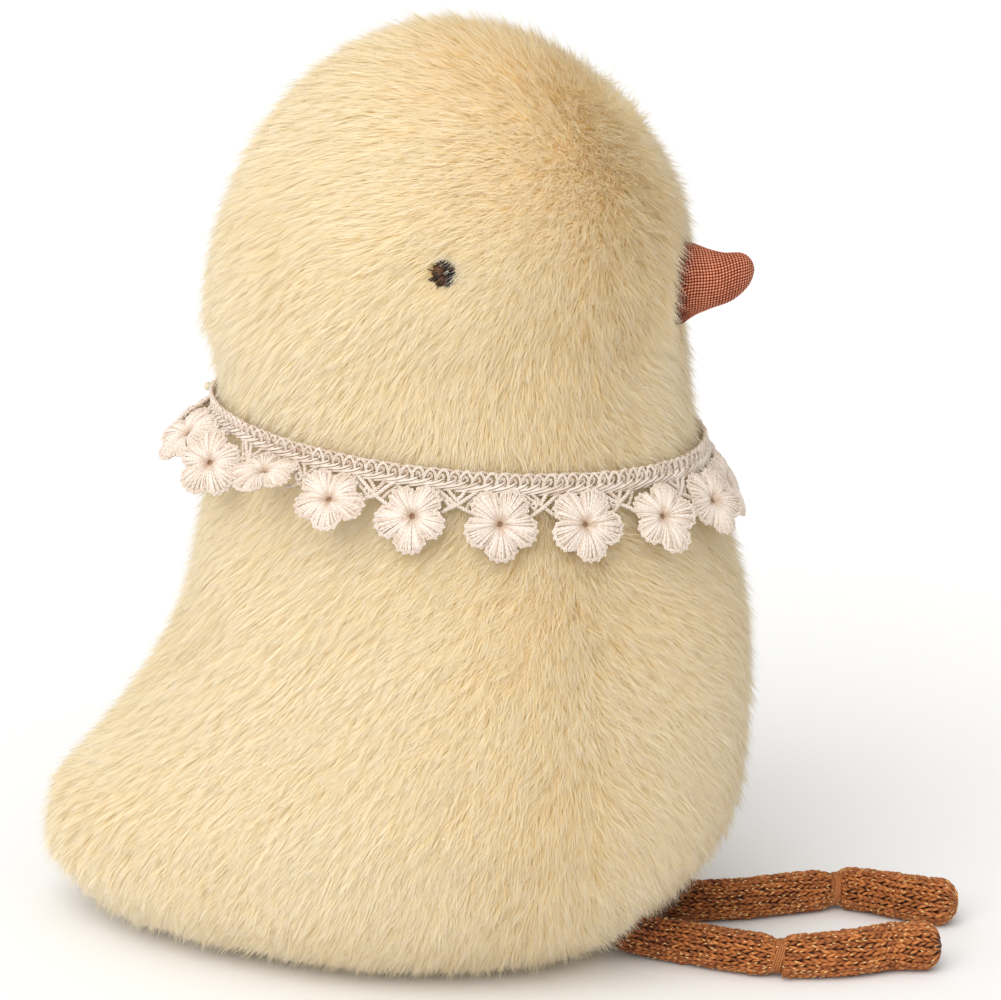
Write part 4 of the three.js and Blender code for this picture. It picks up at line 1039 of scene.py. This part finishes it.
# ------------------------------------------------------------------ eyes: small knots of satin stitches
for side_name, sx_ in (("right", -1), ("left", 1)):
    er = np.random.default_rng(900 + (sx_ > 0))
    zz_, yy_ = 138.05, 3.0
    # outer surface and normal at the eye
    tt = np.linspace(0, math.pi, 721)
    col = body_points(np.full(721, zz_), tt)
    tq = tt[np.argmin(np.abs(col[:, 1] - yy_))]
    p0 = body_points(np.array([zz_]), np.array([tq]))[0]
    p1 = body_points(np.array([zz_ + 1.0]), np.array([tq]))[0]
    p2 = body_points(np.array([zz_]), np.array([tq + 0.02]))[0]
    p0, p1, p2 = [q_ * [sx_, 1, 1] for q_ in (p0, p1, p2)]
    upv = (p1 - p0) / np.linalg.norm(p1 - p0)
    fw = (p2 - p0) / np.linalg.norm(p2 - p0)           # towards the face
    nn_ = np.cross(fw, upv)
    nn_ /= np.linalg.norm(nn_)
    if nn_[0] * sx_ < 0:
        nn_ = -nn_
    fw = np.cross(upv, nn_)
    fw /= np.linalg.norm(fw)
    if fw[1] > 0:
        fw = -fw
    c0 = p0 - nn_ * 1.15
    et = Tubes()
    M = 34
    th = np.linspace(0, 2 * np.pi, M, endpoint=False) + er.normal(0, 0.05, M)
    q = np.linspace(0, 1, 8)[None]
    # stitches run from the sunk middle, a little to the front, over the edge
    rx, rz = 2.05 + 0.15 * er.normal(size=(M, 1)), 2.35 + 0.15 * er.normal(size=(M, 1))
    x = 0.45 * (1 - q) + rx * q ** 0.8 * np.cos(th[:, None])
    z_ = 0.15 * (1 - q) + rz * q ** 0.8 * np.sin(th[:, None])
    h = -0.75 + 1.35 * np.sin(np.pi * np.minimum(1, q * 0.95) ** 0.9) ** 0.8 + 0.1 * er.normal(size=(M, 1)) - 1.1 * np.maximum(0, q - 0.75)
    P = c0 + x[..., None] * fw + z_[..., None] * upv + h[..., None] * nn_
    # tone: painted highlight on the raised middle of each stitch and on the side towards the tail, painted shade at
    # the sunk middle and on the side towards the face
    tone = np.clip(0.42 + 0.24 * er.normal(size=(M, 1)) + 0.26 * np.sin(np.pi * q) - 0.28 * np.cos(th[:, None]), 0, 1)
    et.add(P, 0.13 + 0.09 * q, sides=6, tone=0.5)
    et.a[-2] = np.repeat(tone[:, :, None], 6, 2).reshape(-1)
    et.a[-1] = np.stack([tone[:, 0], tone[:, -1]], 1).reshape(-1)
    # a few loose crossing stitches and a dark ground under them
    for w in range(9):
        a1 = er.random() * 6.28
        a2 = a1 + math.pi + er.normal(0, 0.7)
        pa_, pb_ = np.array([1.75 * math.cos(a1), 2.0 * math.sin(a1)]), np.array([1.75 * math.cos(a2), 2.0 * math.sin(a2)])
        qq = np.linspace(0, 1, 8)[:, None]
        xy = pa_ * (1 - qq) + pb_ * qq
        hz = -0.4 + 0.65 * np.sin(np.pi * qq[:, 0]) ** 0.6
        et.add(c0 + xy[:, :1] * fw + xy[:, 1:] * upv + hz[:, None] * nn_, 0.14, sides=5, tone=float(er.random() * 0.7))
    # fringe of short stitches that disappear among the pile
    for w in range(20):
        a1 = er.normal(-0.1, 1.15) if w < 15 else er.random() * 6.28
        r0, r1 = 1.7, 2.5 + 0.75 * er.random()
        qq = np.linspace(0, 1, 5)
        rr_ = r0 + (r1 - r0) * qq
        hz = -0.25 - 0.9 * qq ** 2 + 0.15 * er.normal()
        et.add(c0 + (rr_ * math.cos(a1))[:, None] * fw + (rr_ * math.sin(a1))[:, None] * upv * 0.95 + hz[:, None] * nn_, np.array([0.14, 0.14, 0.12, 0.1, 0.05]), sides=5, tone=float(0.35 + er.random() * 0.5))
    g1 = np.linspace(0, 1, 7)[:, None]
    g2 = np.linspace(0, 2 * np.pi, 24, endpoint=False)[None]
    dome = c0 + (1.95 * g1 * np.cos(g2))[..., None] * fw + (2.2 * g1 * np.sin(g2))[..., None] * upv + (-0.95 + 0.8 * np.sin(np.pi * g1 * 0.8) - 0.9 * g1 ** 4 + 0 * g2)[..., None] * nn_
    et.grid(dome if sx_ < 0 else dome[:, ::-1], closed=True, tone=0.05)
    eo = et.make("embroidered_eye_" + side_name)
    eo.data.materials.append(EYET)
    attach(eo, BODY)
    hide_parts("eye_" + side_name)

# ------------------------------------------------------------------ legs: knitted cord
LEGS = {
    "right": ([[-10.9, -25.0], [-11.5, -33.5], [-13.4, -41.5], [-15.2, -48.5], [-16.0, -56.4]], [[-14.9, -63.8], [-12.4, -70.6], [-8.9, -76.9], [-7.2, -86.4]]),
    "left": ([[9.4, -25.0], [9.6, -34.5], [11.6, -44.0], [15.4, -52.0], [21.0, -63.4]], [[20.8, -69.0], [18.6, -76.0], [16.6, -82.0], [15.6, -88.0]]),
}
LEG_R, FOOT_R = 3.75, 4.35


class Cord:
    """Centre line of a leg with its own frame: s along, theta round, radial offset."""

    def __init__(self, upper, foot):
        xy = np.array(upper + foot, float)
        z = np.array([5.0, LEG_R + 0.12, LEG_R + 0.12, LEG_R + 0.12, 3.8] + [LEG_R + (FOOT_R - LEG_R) * i / 4 + 0.12 for i in (1, 2, 3, 4)])
        C = smooth_path(np.c_[xy, z], 1200)[0]
        self.s = np.r_[0, np.cumsum(np.linalg.norm(np.diff(C, axis=0), axis=1))]
        self.C = C
        T = np.gradient(C, axis=0)
        self.T = T / np.linalg.norm(T, axis=1, keepdims=True)
        S = np.cross([0, 0, 1.0], self.T)
        self.S = S / np.linalg.norm(S, axis=1, keepdims=True)
        self.U = np.cross(self.T, self.S)
        k = np.argmin(np.linalg.norm(C[:, :2] - xy[4], axis=1))
        self.ankle, self.L = self.s[k], self.s[-1]

    def radius(self, s):
        d = s - self.ankle
        e = self.L - s
        up = LEG_R * (1 - 0.27 * np.exp(-(np.minimum(d, 0) / 2.1) ** 2)) * (1 - 0.16 * np.exp(-((s - 0) / 2.0) ** 2))
        u = np.clip(d / max(self.L - self.ankle, 1e-6), 0, 1)
        ft = (LEG_R * 1.02 + (FOOT_R - LEG_R * 1.02) * u) * (1 - 0.27 * np.exp(-(np.maximum(d, 0) / 1.5) ** 2))
        toe = np.sqrt(np.clip(1 - np.clip(1 - e / 3.7, 0, 1) ** 2, 0.0, 1))
        return np.where(d < 0, up, ft) * toe

    def at(self, s, th, h):
        """h is added to the local radius."""
        s_ = np.clip(s, 0, self.L)
        i = np.interp(s_, self.s, np.arange(len(self.s)))
        i0 = np.minimum(i.astype(int), len(self.s) - 2)
        f_ = (i - i0)[..., None]
        def g(A):
            return A[i0] * (1 - f_) + A[i0 + 1] * f_
        r = np.maximum(self.radius(s_) + h, 0.02)
        S, U = g(self.S), g(self.U)
        P = g(self.C) + (r * np.cos(th))[..., None] * S + (r * np.sin(th))[..., None] * U
        P[..., 2] = np.maximum(P[..., 2], 0.22)
        return P


WALES, COURSE = 17, 1.30
for side_name, (upper, foot) in LEGS.items():
    kr = np.random.default_rng(70 + len(side_name))
    cord_ = Cord(upper, foot)
    kt, lt = Tubes(), Tubes()
    nC = int(cord_.L / COURSE)
    cc, ww = np.meshgrid(np.arange(-1, nC), np.arange(WALES), indexing="ij")
    cc, ww = cc.ravel(), ww.ravel()
    m = len(cc)
    s0 = cc * COURSE + 0.30 * np.sin(ww * 2.4) + 0.15 * np.sin(cc * 0.9 + ww * 1.7) + kr.normal(0, 0.07, m)
    tw = 0.035 * cc * COURSE / 3.75 + 0.06 * np.sin(cc * 0.31)          # the cord twists a little
    th0 = 2 * np.pi * ww / WALES + tw + 0.05 * np.sin(cc * 0.55 + ww) + kr.normal(0, 0.022, m)
    hw = np.pi / WALES
    q = np.linspace(0, 1, 6)[None]
    for sg in (-1, 1):
        wob = kr.normal(0, 0.05, (m, 1))
        S_ = s0[:, None] + 1.95 * q
        TH = th0[:, None] + sg * hw * (0.10 + 0.95 * q ** 0.85) + wob * 0.3
        H = -0.45 + 0.55 * np.sin(np.pi * (0.08 + 0.84 * q)) ** 0.7 + kr.normal(0, 0.08, (m, 1)) - 0.10 * q
        P = cord_.at(S_, TH, H)
        shrink = np.clip(cord_.radius(np.clip(S_, 0, cord_.L)) / LEG_R, 0.25, 1.1)
        rad = 0.295 * (1 + 0.10 * kr.normal(size=(m, 1))) * np.array([0.55, 0.95, 1.0, 1.0, 0.9, 0.5])[None] * shrink
        # painted shadow of the overhanging fur darkens the stitches near the body; the tone is also painted highlight
        # on each stitch's crown and painted shade at its ends
        painted_fur_shadow = np.exp(-np.maximum(s0[:, None] - 6, 0) / 9.0)
        tone = np.clip(0.62 + 0.10 * kr.normal(size=(m, 1)) + 0.20 * np.sin(np.pi * q) - 0.34 * np.abs(q - 0.5) ** 2 * 4 * 0.6 - 0.22 * painted_fur_shadow, 0, 1) + 0 * q
        kt.add(P, rad, sides=6, tone=0.5)
        kt.a[-2] = np.repeat(tone[:, :, None], 6, 2).reshape(-1)
        kt.a[-1] = np.stack([tone[:, 0], tone[:, -1]], 1).reshape(-1)
        # a fine metallic strand shows on some stitches
        pick = kr.random(m) < 0.42
        qs = np.linspace(0, 1, 4)[None]
        st = kr.random((pick.sum(), 1)) * 0.45
        ql = st + qs * (0.16 + 0.2 * kr.random((pick.sum(), 1)))
        S2 = s0[pick][:, None] + 1.95 * ql
        TH2 = th0[pick][:, None] + sg * hw * (0.10 + 0.95 * ql ** 0.85) + kr.normal(0, 0.035, (pick.sum(), 1))
        H2 = -0.45 + 0.55 * np.sin(np.pi * (0.08 + 0.84 * ql)) ** 0.7 + 0.23
        lt.add(cord_.at(S2, TH2, H2), 0.095, sides=4, tone=0.8)
    # a dark sheet inside the tube: painted shade seen through the gaps between stitches
    ss = np.linspace(0.0, cord_.L - 0.03, 150)[:, None]
    tt = np.linspace(0, 2 * np.pi, 28, endpoint=False)[None]
    tube = cord_.at(ss + 0 * tt, tt + 0 * ss, np.full((150, 28), -0.52))
    kt.grid(tube[:, ::-1], closed=True, tone=0.12)
    for tb2, nm, mt in ((kt, "knitted_leg_", YARN), (lt, "metallic_strand_", LUREX)):
        lo = tb2.make(nm + side_name)
        lo.data.materials.append(mt)
        if tb2 is kt:
            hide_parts("leg_knit_" + side_name, "foot_knit_" + side_name)
        i0 = np.argmin(np.abs(cord_.s - (cord_.ankle - 1.5)))
        i1 = np.argmin(np.abs(cord_.s - (cord_.ankle + 1.5)))
        pa_, pb_ = (cord_.C[i0] + [0, SHIFT, 0]) * MM, (cord_.C[i1] + [0, SHIFT, 0]) * MM
        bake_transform(lo)
    # thread wound round the ankle, with its knot and cut ends below
    wt = Tubes()
    turns, n_ = 6.0, 6 * 28
    qa = np.linspace(0, 1, n_)
    thw = qa * turns * 2 * np.pi + 0.8
    sw = cord_.ankle - 1.25 + 2.5 * qa + 0.35 * np.sin(thw + 0.5) + 0.08 * np.sin(thw * 3.3)
    base_r = LEG_R * 0.73
    P = cord_.at(sw, thw, base_r + 0.12 + 0.10 * np.sin(qa * 31) - cord_.radius(sw))
    wt.add(P, 0.24, sides=6, tone=0.62)
    thw2 = -qa * 4.5 * 2 * np.pi + 2.1
    sw2 = cord_.ankle - 0.9 + 1.8 * qa + 0.75 * np.sin(thw2 + 0.2)
    P = cord_.at(sw2, thw2, base_r + 0.42 - cord_.radius(sw2))
    wt.add(P, 0.21, sides=6, tone=0.78)
    kth = -2.35 if side_name == "right" else -0.8          # the knot sits low on the outside
    kb = cord_.at(np.array([cord_.ankle + 1.2]), np.array([kth]), np.array([0.25]))[0]
    for e_ in range(3):
        ph = np.linspace(0, 2 * np.pi, 14)
        ringp = kb + 0.55 * np.stack([np.cos(ph) * math.cos(e_), np.cos(ph) * math.sin(e_), np.sin(ph)], -1)
        ringp[:, 2] = np.maximum(ringp[:, 2], 0.3)
        wt.add(ringp, 0.24, sides=6, tone=0.66)
    for e_ in (-1, 1):
        qq = np.linspace(0, 1, 6)[:, None]
        tail = kb + qq * (np.array([-1.2 if side_name == "right" else -0.8, e_ * 0.7 - 0.4, -0.5]))
        tail[:, 2] = np.maximum(tail[:, 2], 0.3)
        wt.add(tail, np.array([0.2, 0.2, 0.2, 0.19, 0.2, 0.22]), sides=6, tone=0.55)
    wo = wt.make("wound_thread_" + side_name)
    wo.data.materials.append(WRAP)
    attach(wo, "leg_" + side_name)
    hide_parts("ankle_wrap_" + side_name)
